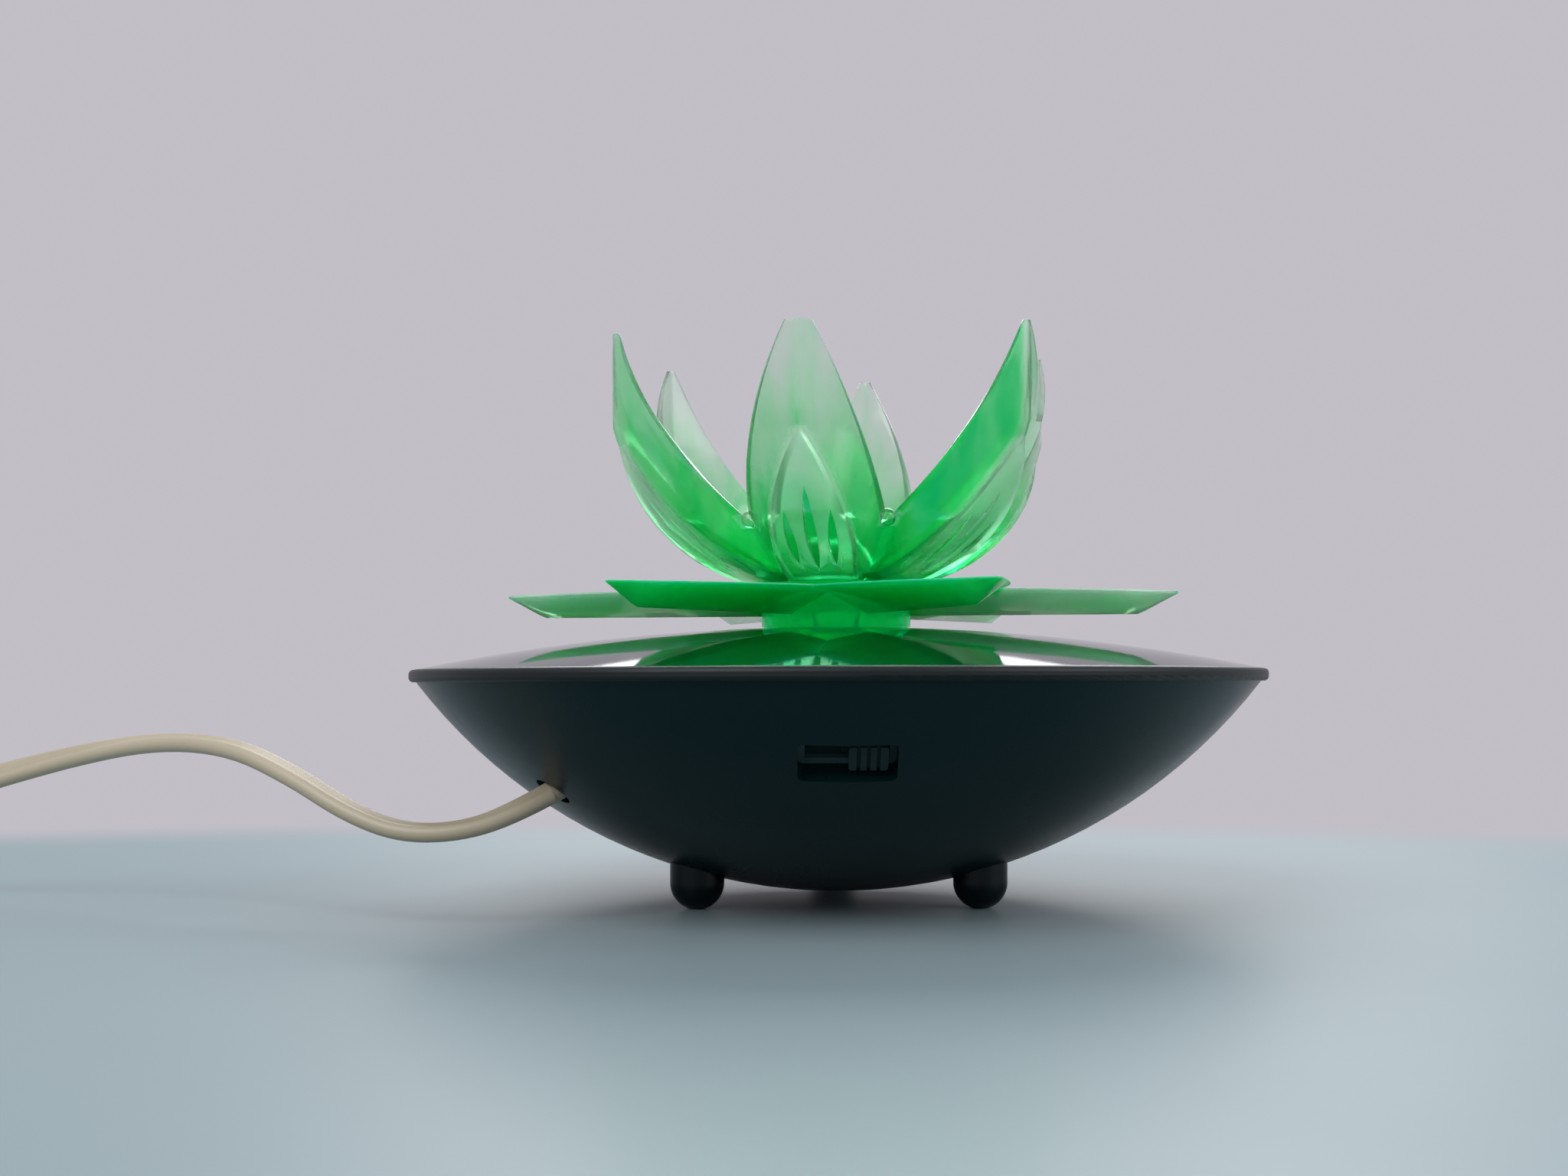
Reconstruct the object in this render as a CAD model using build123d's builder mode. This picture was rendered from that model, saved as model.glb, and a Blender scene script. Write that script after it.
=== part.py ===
from build123d import *
import os
from math import cos, pi, radians, sin, sqrt, tan

# Lotus night light: a dark saucer base on three feet with a clear green flower plugged in its lid.
# Millimetres, +Z up, origin on the table under the flower's axis. The slot faces -Y.

os.makedirs("parts", exist_ok=True)

# Saucer base: the bowl is a spherical cap, the lid a shallow dome that overhangs it
ground_gap = 2.2
bowl_depth = 40.8
bowl_radius = 81.6
bowl_wall = 2.2
rim_overhang = 1.4
lid_wall = 2.0
rim_height = 2.2
rim_round = 0.9
dome_rise = 8.5
land_radius = 15.6
ring_depth = 3.0
ring_wall = 1.6
ring_clearance = 0.4

# Feet and the screw wells that they plug
foot_circle = 31.0
foot_radius = 5.15
foot_flat = 1.4
foot_angles = [-60.0, 60.0, 180.0]
well_bore = 3.7
well_wall = 1.9
well_top = 20.0
web = 2.4
plug_depth = 4.0
plug_clearance = 0.1
post_radius = 3.6
screw_radius = 1.45
screw_length = 12.0
screw_head_radius = 2.8
screw_head = 1.8
screw_slot_share = 0.25
screw_slot_reach = 1.2
screw_clearance = 0.25
pilot_clearance = 0.05

# Flower: collar and spigot of the leaf ring, and the corolla plugged in it
collar_radius = 14.7
collar_bore = 12.7
collar_height = 8.8
collar_relief = 0.4
spigot_radius = 13.2
spigot_bore = 12.0
spigot_length = 7.6
plug_fit = 0.3
guide_wall = 2.2
guide_depth = 4.6
petals = 6
petal_first = -10.0
leaf_first = 22.5

# Leaves: shallow keeled boats whose sides meet between neighbours
leaf_tip = 66.5
leaf_keel_end = 59.0
leaf_valley = 37.0
leaf_belly = 0.5
leaf_top = 7.0
leaf_keel = 2.5
leaf_plate = 2.0
leaf_edge = 0.35
leaf_tip_keel = 0.12
leaf_groove = 0.08
leaf_root = 13.2
leaf_overlap = 0.3

# Petals: the keel rises on an arc and stands upright from there to a narrow tip; the front one is cut short
corolla_height = 46.8
keel_arc = 41.5
keel_centre = 5.3
keel_centre_height = 40.1
petal_reach = 45.3
cup_height = 10.8
valley_base = 14.8
valley_top = 25.8
petal_root_wall = 2.4
petal_tip_wall = 0.7
petal_steps = 16
edge_flare = 2.05
edge_fullness = 1.65
cup_steps = 8
cup_floor = 2.2
cup_draft = 0.9
facet_width = 7.6
facet_base = 6.6
facet_start = 3.8
facet_end = 25.8
facet_least = 0.4
facet_fullness = 1.9
tip_half_width = 1.1
tip_depth = 0.5
front_cut = 2.6
corolla_bore = 11.2
corolla_spigot = 5.0
slit_width = 2.2
side_slit_width = 1.8
slit_low = 1.6
slit_high = 15.8
side_slit_low = 2.4
side_slit_high = 11.6
side_slit_place = 3.9
side_slit_lean = 0.8
slit_cut = 3.0
slit_depth = 0.3
lump_radius = 1.7
lump_height = 5.0
lump_stand = 0.4

# Bulb and its screw lampholder
bulb_bottom = 22.0
bulb_length = 48.0
bulb_radius = 10.0
bulb_glass_wall = 0.8
bulb_neck = 5.5
bulb_shoulder = 9.0
cap_radius = 5.95
cap_height = 12.5
cap_wall = 0.4
insulator_height = 1.8
thread_pitch = 2.54
thread_depth = 0.6
thread_crest = 0.25
thread_root = 1.0
thread_turns = 3
stem_radius = 2.6
stem_height = 12.0
filament_height = 22.0
filament_span = 5.0
filament_radius = 0.35
filament_bend = 1.2
filament_root = 8.4
holder_radius = 9.75
holder_bottom = 13.0
holder_top = 36.5
holder_floor = 6.0
shell_wall = 0.5
shell_clearance = 0.3
shell_rise = 1.2
contact_thickness = 0.8
contact_radius = 1.8
contact_reach = 13.4
contact_width = 4.0
strip_thickness = 1.2
strip_width = 11.0
strip_length = 42.0
strip_hole_place = 17.0
strip_boss = 3.4
small_screw = 1.25
small_screw_length = 6.0
small_head = 2.4
small_head_height = 1.4

# Slide switch behind the slot in the bowl's front
slot_from_rim = 12.2
slot_length = 16.3
slot_width = 9.0
slot_corner = 1.1
slot_depth = 4.2
slot_wall = 1.6
plate_thickness = 1.0
plate_length = 30.0
plate_width = 11.0
plate_hole_place = 12.4
switch_boss = 2.4
tiny_screw = 1.0
tiny_screw_length = 3.4
tiny_head = 1.8
tiny_head_height = 1.1
knob_length = 6.5
knob_width = 5.6
knob_recess = 1.2
knob_rib = 0.6
knob_ribs = 3
knob_rest = 3.4
knob_travel = 6.8
knob_clearance = 0.3
carriage_length = 8.6
carriage_width = 6.4
carriage_height = 3.2
switch_wall = 1.3
switch_height = 7.0
switch_side_gap = 0.4
tab_width = 1.6
tab_thickness = 0.6
tab_height = 4.0
tab_pitch = 5.0

# Cord: twin flex, shown as a round tube of the same section
cord_radius = 2.1
cord_hole_play = 1.1
arc_share = 0.45
inner_level = 27.1
inner_run = 13.5
clamp_place = 8.2
clamp_length = 19.0
clamp_width = 7.0
clamp_top = 2.4
clamp_screw_place = 6.2
wire_radius = 0.8
wire_spacing = 2.1
wire_start = 5.0
wire_end = 6.0
plug_length = 36.0
plug_width = 26.0
plug_tail = 12.0
plug_tail_radius = 4.2
plug_round = 3.0
blade_length = 17.0
blade_thickness = 1.5
blade_width = 6.35
blade_spacing = 12.7
blade_hole = 1.5
blade_hole_place = 3.2

# The cord's free stretch, from its hole in the bowl to the coil: points chosen by hand
cord_points = [
    (-52.6, -34.1, 22.9),
    (-59.6, -37.6, 19.0),
    (-68.4, -40.1, 16.4),
    (-78.3, -40.3, 16.4),
    (-88.0, -38.0, 20.0),
    (-98.8, -32.6, 26.0),
    (-112.5, -24.0, 31.3),
    (-131.0, -11.0, 31.9),
    (-152.5, 1.0, 28.3),
    (-176.0, 7.0, 22.3),
    (-198.0, 9.5, 12.9),
    (-216.0, 10.0, 4.4),
    (-234.0, 9.5, 2.6),
    (-245.0, 9.5, 2.6),
]

# The coil: half turns spiral in on the table, climb once and spiral out again on top
coil_outer = 40.0
coil_step = 2.7
coil_half_turns = 7
coil_layer = 5.2
coil_samples = 24
coil_lead = 5.2
coil_tail = 22.0

# Heights and radii that follow from the sizes above
lid_radius = bowl_radius + rim_overhang
slot_reach = bowl_radius - slot_from_rim
rim_z = ground_gap + bowl_depth
bowl_sphere = (bowl_radius**2 + bowl_depth**2) / (2 * bowl_depth)
bowl_centre = ground_gap + bowl_sphere
inner_sphere = bowl_sphere - bowl_wall
edge_z = rim_z + rim_height
dome_sphere = (lid_radius**2 + dome_rise**2) / (2 * dome_rise)
dome_top = edge_z + dome_rise


def bowl_z(reach, sphere):
    """Height of a sphere of the bowl at a distance from the axis."""
    return bowl_centre - sqrt(sphere**2 - reach**2)


def dome_z(reach):
    """Height of the lid's outer dome at a distance from the axis."""
    return dome_top - dome_sphere + sqrt(dome_sphere**2 - reach**2)


def around(reach, angle, height):
    """Point at an angle from the front, positive to the right."""
    return Vector(reach * sin(radians(angle)), -reach * cos(radians(angle)), height)


def outward(angle):
    """Turn about the vertical that brings +X to an angle from the front."""
    return angle - 90


def save(part, name):
    """Label a finished piece and write it."""
    part.label = name
    export_step(part, f"parts/{name}.step")


def pan_screw(shank, length, head, height):
    """Pan-head screw on +Z with its head's underside at the origin and a cross recess."""
    slot = head * screw_slot_share
    with BuildPart() as one:
        Cylinder(shank, length, align=(Align.CENTER, Align.CENTER, Align.MAX))
        Cylinder(head, height, align=(Align.CENTER, Align.CENTER, Align.MIN))
        chamfer(one.edges().group_by(Axis.Z)[-1], height / 3)
        with BuildSketch(Plane.XY.offset(height)):
            Rectangle(head * screw_slot_reach, slot)
            Rectangle(slot, head * screw_slot_reach)
        extrude(amount=-height / 2, mode=Mode.SUBTRACT)
    return one.part


def screw_group(places, shank, length, head, height):
    """Like screws, one for each place."""
    one = pan_screw(shank, length, head, height)
    with BuildPart() as group:
        for place in places:
            with Locations(place):
                add(one)
    return group.part


def thread_line(radius, low, high, depth):
    """Side of a knuckle thread from low to high: points with a crest in each pitch."""
    points = [(radius - depth, low)]
    for turn in range(thread_turns):
        foot = low + (high - low - thread_turns * thread_pitch) / 2 + turn * thread_pitch
        points += [
            (radius - depth, foot + thread_pitch / 2 - thread_root),
            (radius, foot + thread_pitch / 2 - thread_crest),
            (radius, foot + thread_pitch / 2 + thread_crest),
            (radius - depth, foot + thread_pitch / 2 + thread_root),
        ]
    return points + [(radius - depth, high)]


def corner_radii(points):
    """Largest arcs that the runs beside each corner leave room for."""
    radii = []
    for before, corner, after in zip(points, points[1:], points[2:]):
        first = Vector(*corner) - Vector(*before)
        second = Vector(*after) - Vector(*corner)
        half_turn = radians(first.get_angle(second)) / 2
        radii.append(arc_share * min(first.length, second.length) / tan(half_turn))
    return radii


def tube(points, radius, name):
    """Tube along straight runs joined by tangent arcs; prints its radii and checks its volume."""
    radii = corner_radii(points)
    with BuildPart() as lead:
        with BuildLine() as route:
            FilletPolyline(*points, radius=radii)
        path = route.wires()[0]
        with BuildSketch(Plane(origin=path @ 0, z_dir=path % 0)):
            Circle(radius)
        sweep(path=path)
    section = pi * radius**2 * path.length
    shown = ", ".join(f"{value:.0f}" for value in radii)
    print(f"{name}: length {path.length:.1f}, volume ratio {lead.part.volume / section:.4f}")
    print(f"{name}: radii {shown}")
    return lead.part


# Bowl: spherical shell with three screw wells, bracket bosses, clamp block and slot surround
slot_point = around(slot_reach, 0, bowl_z(slot_reach, bowl_sphere))
slot_normal = slot_point - Vector(0, 0, bowl_centre)
slot_plane = Plane(origin=slot_point, x_dir=(1, 0, 0), z_dir=slot_normal)
strip_z = holder_bottom - strip_thickness
cord_exit = Vector(*cord_points[0])
cord_heading = (Vector(*cord_points[1]) - cord_exit).normalized()
inner_corner = cord_exit + cord_heading * ((inner_level - cord_exit.Z) / cord_heading.Z)
inward = Vector(-cord_heading.X, -cord_heading.Y, 0).normalized()
clamp_floor = inner_level - cord_radius
clamp_origin = inner_corner + inward * clamp_place - Vector(0, 0, cord_radius)
clamp_plane = Plane(origin=clamp_origin, x_dir=inward.cross(Vector(0, 0, 1)))

with BuildPart() as outer_cap:
    with Locations((0, 0, bowl_centre)):
        Sphere(bowl_sphere)
    split(bisect_by=Plane.XY.offset(rim_z), keep=Keep.BOTTOM)

with BuildPart() as bowl:
    add(outer_cap.part)
    with Locations((0, 0, bowl_centre)):
        Sphere(inner_sphere, mode=Mode.SUBTRACT)
    for angle in foot_angles:
        with Locations(around(foot_circle, angle, 0)):
            Cylinder(well_bore + well_wall, well_top, align=(Align.CENTER, Align.CENTER, Align.MIN))
    for side in (-1, 1):
        with Locations((side * strip_hole_place, 0, 0)):
            Cylinder(strip_boss, strip_z, align=(Align.CENTER, Align.CENTER, Align.MIN))
    with BuildSketch(clamp_plane):
        Rectangle(clamp_length, clamp_width)
    extrude(amount=-clamp_floor)
    with BuildSketch(slot_plane):
        RectangleRounded(slot_length + 2 * slot_wall, slot_width + 2 * slot_wall, slot_corner + slot_wall)
    extrude(amount=slot_wall)
    with BuildSketch(slot_plane):
        RectangleRounded(slot_length + 2 * slot_wall, slot_width + 2 * slot_wall, slot_corner + slot_wall)
        with Locations((-plate_hole_place, 0), (plate_hole_place, 0)):
            Circle(switch_boss)
    extrude(amount=-slot_depth)
    add(outer_cap.part, mode=Mode.INTERSECT)
    for angle in foot_angles:
        with Locations(around(foot_circle, angle, 0)):
            Cylinder(well_bore, well_top - web, align=(Align.CENTER, Align.CENTER, Align.MIN), mode=Mode.SUBTRACT)
            Cylinder(
                screw_radius + screw_clearance,
                well_top,
                align=(Align.CENTER, Align.CENTER, Align.MIN),
                mode=Mode.SUBTRACT,
            )
    with Locations((-strip_hole_place, 0, strip_z), (strip_hole_place, 0, strip_z)):
        Cylinder(
            small_screw + pilot_clearance,
            small_screw_length,
            align=(Align.CENTER, Align.CENTER, Align.MAX),
            mode=Mode.SUBTRACT,
        )
    with BuildSketch(clamp_plane):
        with Locations((-clamp_screw_place, 0), (clamp_screw_place, 0)):
            Circle(small_screw + pilot_clearance)
    extrude(amount=-small_screw_length, mode=Mode.SUBTRACT)
    with BuildSketch(slot_plane.offset(slot_wall)):
        RectangleRounded(slot_length, slot_width, slot_corner)
    extrude(amount=-slot_depth - 2 * slot_wall, mode=Mode.SUBTRACT)
    with BuildSketch(slot_plane.offset(-slot_depth)):
        with Locations((-plate_hole_place, 0), (plate_hole_place, 0)):
            Circle(tiny_screw + pilot_clearance)
    extrude(amount=tiny_screw_length - plate_thickness, mode=Mode.SUBTRACT)
    with BuildSketch(Plane(origin=cord_exit, z_dir=cord_heading)):
        Circle(cord_radius + cord_hole_play)
    extrude(amount=bowl_wall * 4, both=True, mode=Mode.SUBTRACT)
save(bowl.part, "bowl")

# Feet: round-ended plugs that close the screw wells, each with a small flat to stand on
foot_centre = sqrt(foot_radius**2 - foot_flat**2)
for name, angle in zip(("foot_left", "foot_right", "foot_rear"), foot_angles):
    plug_top = bowl_z(foot_circle, bowl_sphere) + plug_depth
    with BuildPart() as foot:
        with Locations(around(foot_circle, angle, foot_centre)):
            Sphere(foot_radius)
            Cylinder(foot_radius, well_top - foot_centre, align=(Align.CENTER, Align.CENTER, Align.MIN))
        split(bisect_by=Plane.XY, keep=Keep.TOP)
        with Locations((0, 0, bowl_centre)):
            Sphere(bowl_sphere, mode=Mode.SUBTRACT)
        with BuildSketch(Plane.XY.offset(foot_centre)):
            with Locations(around(foot_circle, angle, 0)):
                Circle(well_bore - plug_clearance)
        extrude(amount=plug_top - foot_centre)
    save(foot.part, name)

# Lid: dome with a flat land for the flower, its guide, a locating ring and three screw posts
ring_radius = sqrt(inner_sphere**2 - (bowl_centre - rim_z + ring_depth) ** 2) - ring_clearance
ring_inside = ring_radius - ring_wall
hole_radius = spigot_radius + plug_fit
land_z = dome_z(land_radius)
guide_z = land_z - lid_wall - guide_depth
middle = (land_radius + lid_radius) / 2
inside_middle = (hole_radius + ring_inside) / 2
with BuildPart() as lid:
    with BuildSketch(Plane.XZ):
        with BuildLine():
            ThreePointArc((land_radius, land_z), (middle, dome_z(middle)), (lid_radius, edge_z))
            Polyline(
                (lid_radius, edge_z),
                (lid_radius, rim_z),
                (ring_radius, rim_z),
                (ring_radius, rim_z - ring_depth),
                (ring_inside, rim_z - ring_depth),
                (ring_inside, dome_z(ring_inside) - lid_wall),
            )
            ThreePointArc(
                (ring_inside, dome_z(ring_inside) - lid_wall),
                (inside_middle, dome_z(inside_middle) - lid_wall),
                (hole_radius, land_z - lid_wall),
            )
            Polyline(
                (hole_radius, land_z - lid_wall),
                (hole_radius, land_z),
                (land_radius, land_z),
            )
        make_face()
    revolve(axis=Axis.Z)
    with BuildSketch(Plane.XY.offset(guide_z)):
        Circle(hole_radius + guide_wall)
        Circle(hole_radius, mode=Mode.SUBTRACT)
    extrude(amount=land_z - lid_wall / 2 - guide_z)
    fillet(lid.edges().filter_by(GeomType.CIRCLE).filter_by(lambda e: e.radius > lid_radius - 0.1), rim_round)
    for angle in foot_angles:
        with Locations(around(foot_circle, angle, well_top)):
            Cylinder(
                post_radius,
                dome_z(foot_circle) - lid_wall / 2 - well_top,
                align=(Align.CENTER, Align.CENTER, Align.MIN),
            )
            Cylinder(
                screw_radius + pilot_clearance,
                screw_length,
                align=(Align.CENTER, Align.CENTER, Align.MIN),
                mode=Mode.SUBTRACT,
            )
save(lid.part, "lid")

lid_screws = screw_group(
    [Plane(origin=around(foot_circle, angle, well_top - web), z_dir=(0, 0, -1)) for angle in foot_angles],
    screw_radius,
    screw_length,
    screw_head_radius,
    screw_head,
)
save(lid_screws, "lid_screws")

# Leaf ring: six keeled leaves round a collar that stands on the lid, with a spigot in its hole
collar_top = land_z + collar_height
leaf_top_z = land_z + leaf_top
leaf_keel_z = land_z + leaf_keel
sector = radians(180 / petals)
leaf_span = leaf_valley * cos(sector)


def leaf_half_width(reach):
    """Half of a leaf's width: the sector's edge near the hub, then a pointed curve to the tip."""
    if reach <= leaf_span:
        return reach * tan(sector) + leaf_overlap
    share = (reach - leaf_span) / (leaf_tip - leaf_span)
    return leaf_span * tan(sector) * (1 - share) * (1 + leaf_belly * share) + leaf_overlap


def leaf_section(reach):
    """Corners of a leaf's cross-section, in its width and height: a shallow V."""
    half = leaf_half_width(reach)
    rise = max(0, reach - leaf_keel_end) / (leaf_tip - leaf_keel_end)
    edge = leaf_top_z - leaf_edge
    keel = leaf_keel_z + (edge - leaf_tip_keel - leaf_keel_z) * rise
    crown = min(keel + leaf_plate, leaf_top_z - leaf_groove)
    return [(-half, edge), (0, keel), (half, edge), (half, leaf_top_z), (0, crown), (-half, leaf_top_z)]


leaf_bend = leaf_span + (leaf_keel_end - leaf_span) / 2
with BuildPart() as leaf:
    for reach in (leaf_root, leaf_span, leaf_bend, leaf_keel_end, leaf_tip):
        with BuildSketch(Plane(origin=(reach, 0, 0), x_dir=(0, 1, 0), z_dir=(1, 0, 0))):
            Polygon(*leaf_section(reach), align=None)
    loft(ruled=True)

with BuildPart() as leaf_ring:
    with PolarLocations(0, petals, start_angle=outward(leaf_first)):
        add(leaf.part)
    with BuildSketch(Plane.XY.offset(land_z)):
        Circle(collar_radius)
    extrude(amount=collar_height)
    with BuildSketch(Plane.XY.offset(land_z)):
        Circle(spigot_radius)
    extrude(amount=-spigot_length)
    with BuildSketch(Plane.XY.offset(land_z)):
        Circle(collar_bore)
    extrude(amount=collar_height, mode=Mode.SUBTRACT)
    with BuildSketch(Plane.XY.offset(land_z - spigot_length)):
        Circle(spigot_bore)
    extrude(amount=collar_height, mode=Mode.SUBTRACT)
    with BuildSketch(Plane.XY.offset(land_z)):
        Circle(collar_radius + collar_relief)
        Circle(collar_radius - collar_relief, mode=Mode.SUBTRACT)
    extrude(amount=collar_relief, mode=Mode.SUBTRACT)
save(leaf_ring.part, "leaf_ring")

# Corolla: a six-lobed cup below, six upright petals above, one moulding. Heights from its seat
seat_z = collar_top


def keel_reach(height):
    """Distance of a petal's keel from the axis: an arc, then upright."""
    below = max(keel_centre_height - height, 0)
    return min(keel_centre + sqrt(max(keel_arc**2 - below**2, 0)), petal_reach)


def valley_reach(height):
    """Distance from the axis of the valley between two petals, within the cup."""
    return valley_base + (valley_top - valley_base) * min(height / cup_height, 1)


def facet_half_width(height):
    """Half of the flat facet on the keel: a pointed arch that closes at the petal's kink."""
    if height < facet_start:
        return facet_base + (facet_width - facet_base) * height / facet_start
    share = min((height - facet_start) / (facet_end - facet_start), 1)
    return max(facet_width * (1 - share**facet_fullness), facet_least)


def cup_outline(height, inset, shift):
    """The cup's outline at a height: three points for each petal, drawn in by an inset."""
    keel = keel_reach(height - shift) - inset
    half = facet_half_width(height - shift) - inset
    valley = valley_reach(height - shift) - inset
    points = []
    for index in range(petals):
        turn = radians(outward(petal_first)) + 2 * sector * index
        for along, across in ((keel, -half), (keel, half)):
            points.append((along * cos(turn) - across * sin(turn), along * sin(turn) + across * cos(turn)))
        points.append((valley * cos(turn + sector), valley * sin(turn + sector)))
    return points


def petal_edge(share):
    """A petal's side edge a share of the way up: its distance from the axis and half the width there."""
    low = valley_top * cos(sector)
    high = petal_reach - tip_depth
    wide = valley_top * sin(sector)
    return (
        low + (high - low) * (1 - (1 - share) ** edge_flare),
        wide + (tip_half_width - wide) * share**edge_fullness,
    )


def petal_outline(height):
    """A petal's cross-section at a height: a channel of even wall, open towards the axis."""
    share = (height - cup_height) / (corolla_height - cup_height)
    keel = keel_reach(height)
    half = facet_half_width(height)
    edge, width = petal_edge(share)
    wall = petal_root_wall + (petal_tip_wall - petal_root_wall) * share
    depth = keel - edge
    spread = width - half
    slant = sqrt(depth**2 + spread**2)
    inner_edge = (edge - wall * spread / slant, width - wall * depth / slant)
    inner_half = half - wall * depth / slant + wall * (slant - spread) * spread / (depth * slant)
    inner_depth = wall
    if inner_half < facet_least / 2:
        along = (facet_least / 2 - half + wall * depth / slant) * slant / spread
        inner_half = facet_least / 2
        inner_depth = wall * spread / slant + along * depth / slant
    inner = (keel - inner_depth, inner_half)
    right = [(keel, half), (edge, width), inner_edge, inner]
    return [(along, -across) for along, across in reversed(right)] + right


def lens(length, width, lean):
    """Pointed slit outline about the origin, its top leaning sideways."""
    top = (lean / 2, length / 2)
    bottom = (-lean / 2, -length / 2)
    with BuildSketch() as slit:
        with BuildLine():
            ThreePointArc(bottom, (width / 2, 0), top)
            ThreePointArc(top, (-width / 2, 0), bottom)
        make_face()
    return slit.sketch


def slit_plane(low, high):
    """Plane a groove's depth inside the chord of the keel between two heights, facing outward."""
    foot = Vector(keel_reach(low), 0, seat_z + low)
    head = Vector(keel_reach(high), 0, seat_z + high)
    chord = Plane(origin=(foot + head) / 2, x_dir=(0, 1, 0), z_dir=Vector(0, 1, 0).cross(head - foot))
    return chord.offset(-slit_depth)


cup_heights = [cup_height * step / cup_steps for step in range(cup_steps + 1)]
with BuildPart() as cup:
    for height in cup_heights:
        with BuildSketch(Plane.XY.offset(seat_z + height)):
            Polygon(*cup_outline(height, 0, 0), align=None)
    loft(ruled=True)
with BuildPart() as cup_inside:
    for height in cup_heights:
        with BuildSketch(Plane.XY.offset(seat_z + height + cup_floor)):
            Polygon(*cup_outline(height + cup_floor, cup_draft, cup_floor), align=None)
    loft(ruled=True)

petal_rise = corolla_height - cup_height
main_slit = slit_plane(slit_low, slit_high)
side_slit = slit_plane(side_slit_low, side_slit_high)
main_length = (Vector(keel_reach(slit_high), 0, slit_high) - Vector(keel_reach(slit_low), 0, slit_low)).length
side_length = (
    Vector(keel_reach(side_slit_high), 0, side_slit_high) - Vector(keel_reach(side_slit_low), 0, side_slit_low)
).length
with BuildPart() as petal:
    for step in range(petal_steps + 1):
        height = cup_height + petal_rise * step / petal_steps
        with BuildSketch(Plane.XY.offset(seat_z + height)):
            Polygon(*petal_outline(height), align=None)
    loft(ruled=True)

with BuildPart() as slits:
    with BuildSketch(main_slit):
        add(lens(main_length, slit_width, 0))
    extrude(amount=slit_cut)
    for side in (-1, 1):
        with BuildSketch(side_slit):
            with Locations((side * side_slit_place, 0)):
                add(lens(side_length, side_slit_width, side * side_slit_lean))
        extrude(amount=slit_cut)

with BuildPart() as corolla:
    add(cup.part)
    add(cup_inside.part, mode=Mode.SUBTRACT)
    with PolarLocations(0, petals, start_angle=outward(petal_first)):
        add(petal.part)
    for index in range(petals):
        angle = petal_first + (index + 0.5) * 360 / petals
        with Locations(around(valley_top, angle, seat_z + cup_height + lump_stand)):
            Sphere(lump_radius)
            Cylinder(lump_radius, lump_height, align=(Align.CENTER, Align.CENTER, Align.MAX))
    with BuildSketch(Plane.XY.offset(seat_z)):
        Circle(collar_bore - plug_fit)
    extrude(amount=-corolla_spigot)
    with BuildSketch(Plane.XY.offset(seat_z - corolla_spigot)):
        Circle(corolla_bore)
    extrude(amount=corolla_spigot + cup_floor * 2, mode=Mode.SUBTRACT)
    with PolarLocations(0, petals, start_angle=outward(petal_first)):
        add(slits.part, mode=Mode.SUBTRACT)
    with BuildSketch(Plane.XY.offset(seat_z + corolla_height)):
        with Locations(around(petal_reach, petal_first, 0)):
            Circle(valley_top / 2)
    extrude(amount=-front_cut, mode=Mode.SUBTRACT)
save(corolla.part, "corolla")

# Bulb: tubular glass on a screw cap with its stem and filament
bulb_top = bulb_bottom + bulb_length
cap_low = bulb_bottom + insulator_height
cap_top = cap_low + cap_height
shoulder_z = cap_top + bulb_shoulder
round_z = bulb_top - bulb_radius
glass_inner = bulb_radius - bulb_glass_wall
neck_inner = bulb_neck - bulb_glass_wall
with BuildPart() as bulb_glass:
    with BuildSketch(Plane.XZ):
        with BuildLine():
            Line((neck_inner, cap_top), (bulb_neck, cap_top))
            Spline(
                (bulb_neck, cap_top),
                (bulb_radius, shoulder_z),
                tangents=[(0, 1), (0, 1)],
            )
            Line((bulb_radius, shoulder_z), (bulb_radius, round_z))
            RadiusArc((bulb_radius, round_z), (0, bulb_top), -bulb_radius)
            Line((0, bulb_top), (0, bulb_top - bulb_glass_wall))
            RadiusArc((0, bulb_top - bulb_glass_wall), (glass_inner, round_z), glass_inner)
            Line((glass_inner, round_z), (glass_inner, shoulder_z))
            Spline(
                (glass_inner, shoulder_z),
                (neck_inner, cap_top),
                tangents=[(0, -1), (0, -1)],
            )
        make_face()
    revolve(axis=Axis.Z)
save(bulb_glass.part, "bulb_glass")

with BuildPart() as bulb_cap:
    with BuildSketch(Plane.XZ):
        with BuildLine():
            Polyline(
                (0, cap_low),
                *thread_line(cap_radius, cap_low, cap_top, thread_depth),
                (cap_radius - thread_depth - cap_wall, cap_top),
                (cap_radius - thread_depth - cap_wall, cap_low + cap_wall),
                (0, cap_low + cap_wall),
                close=True,
            )
        make_face()
    revolve(axis=Axis.Z)
save(bulb_cap.part, "bulb_cap")

with BuildPart() as bulb_insulator:
    Cone(
        contact_radius,
        cap_radius - thread_depth,
        insulator_height,
        align=(Align.CENTER, Align.CENTER, Align.MIN),
    )
insulator = Pos(0, 0, bulb_bottom) * bulb_insulator.part
save(insulator, "bulb_insulator")

with BuildPart() as bulb_stem:
    with BuildSketch(Plane.XZ):
        with BuildLine():
            Polyline(
                (0, cap_low + cap_wall),
                (neck_inner, cap_low + cap_wall),
                (neck_inner, cap_top),
                (stem_radius, cap_top + stem_radius),
                (stem_radius / 2, cap_top + stem_height),
                (0, cap_top + stem_height),
                close=True,
            )
        make_face()
    revolve(axis=Axis.Z)
save(bulb_stem.part, "bulb_stem")

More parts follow.
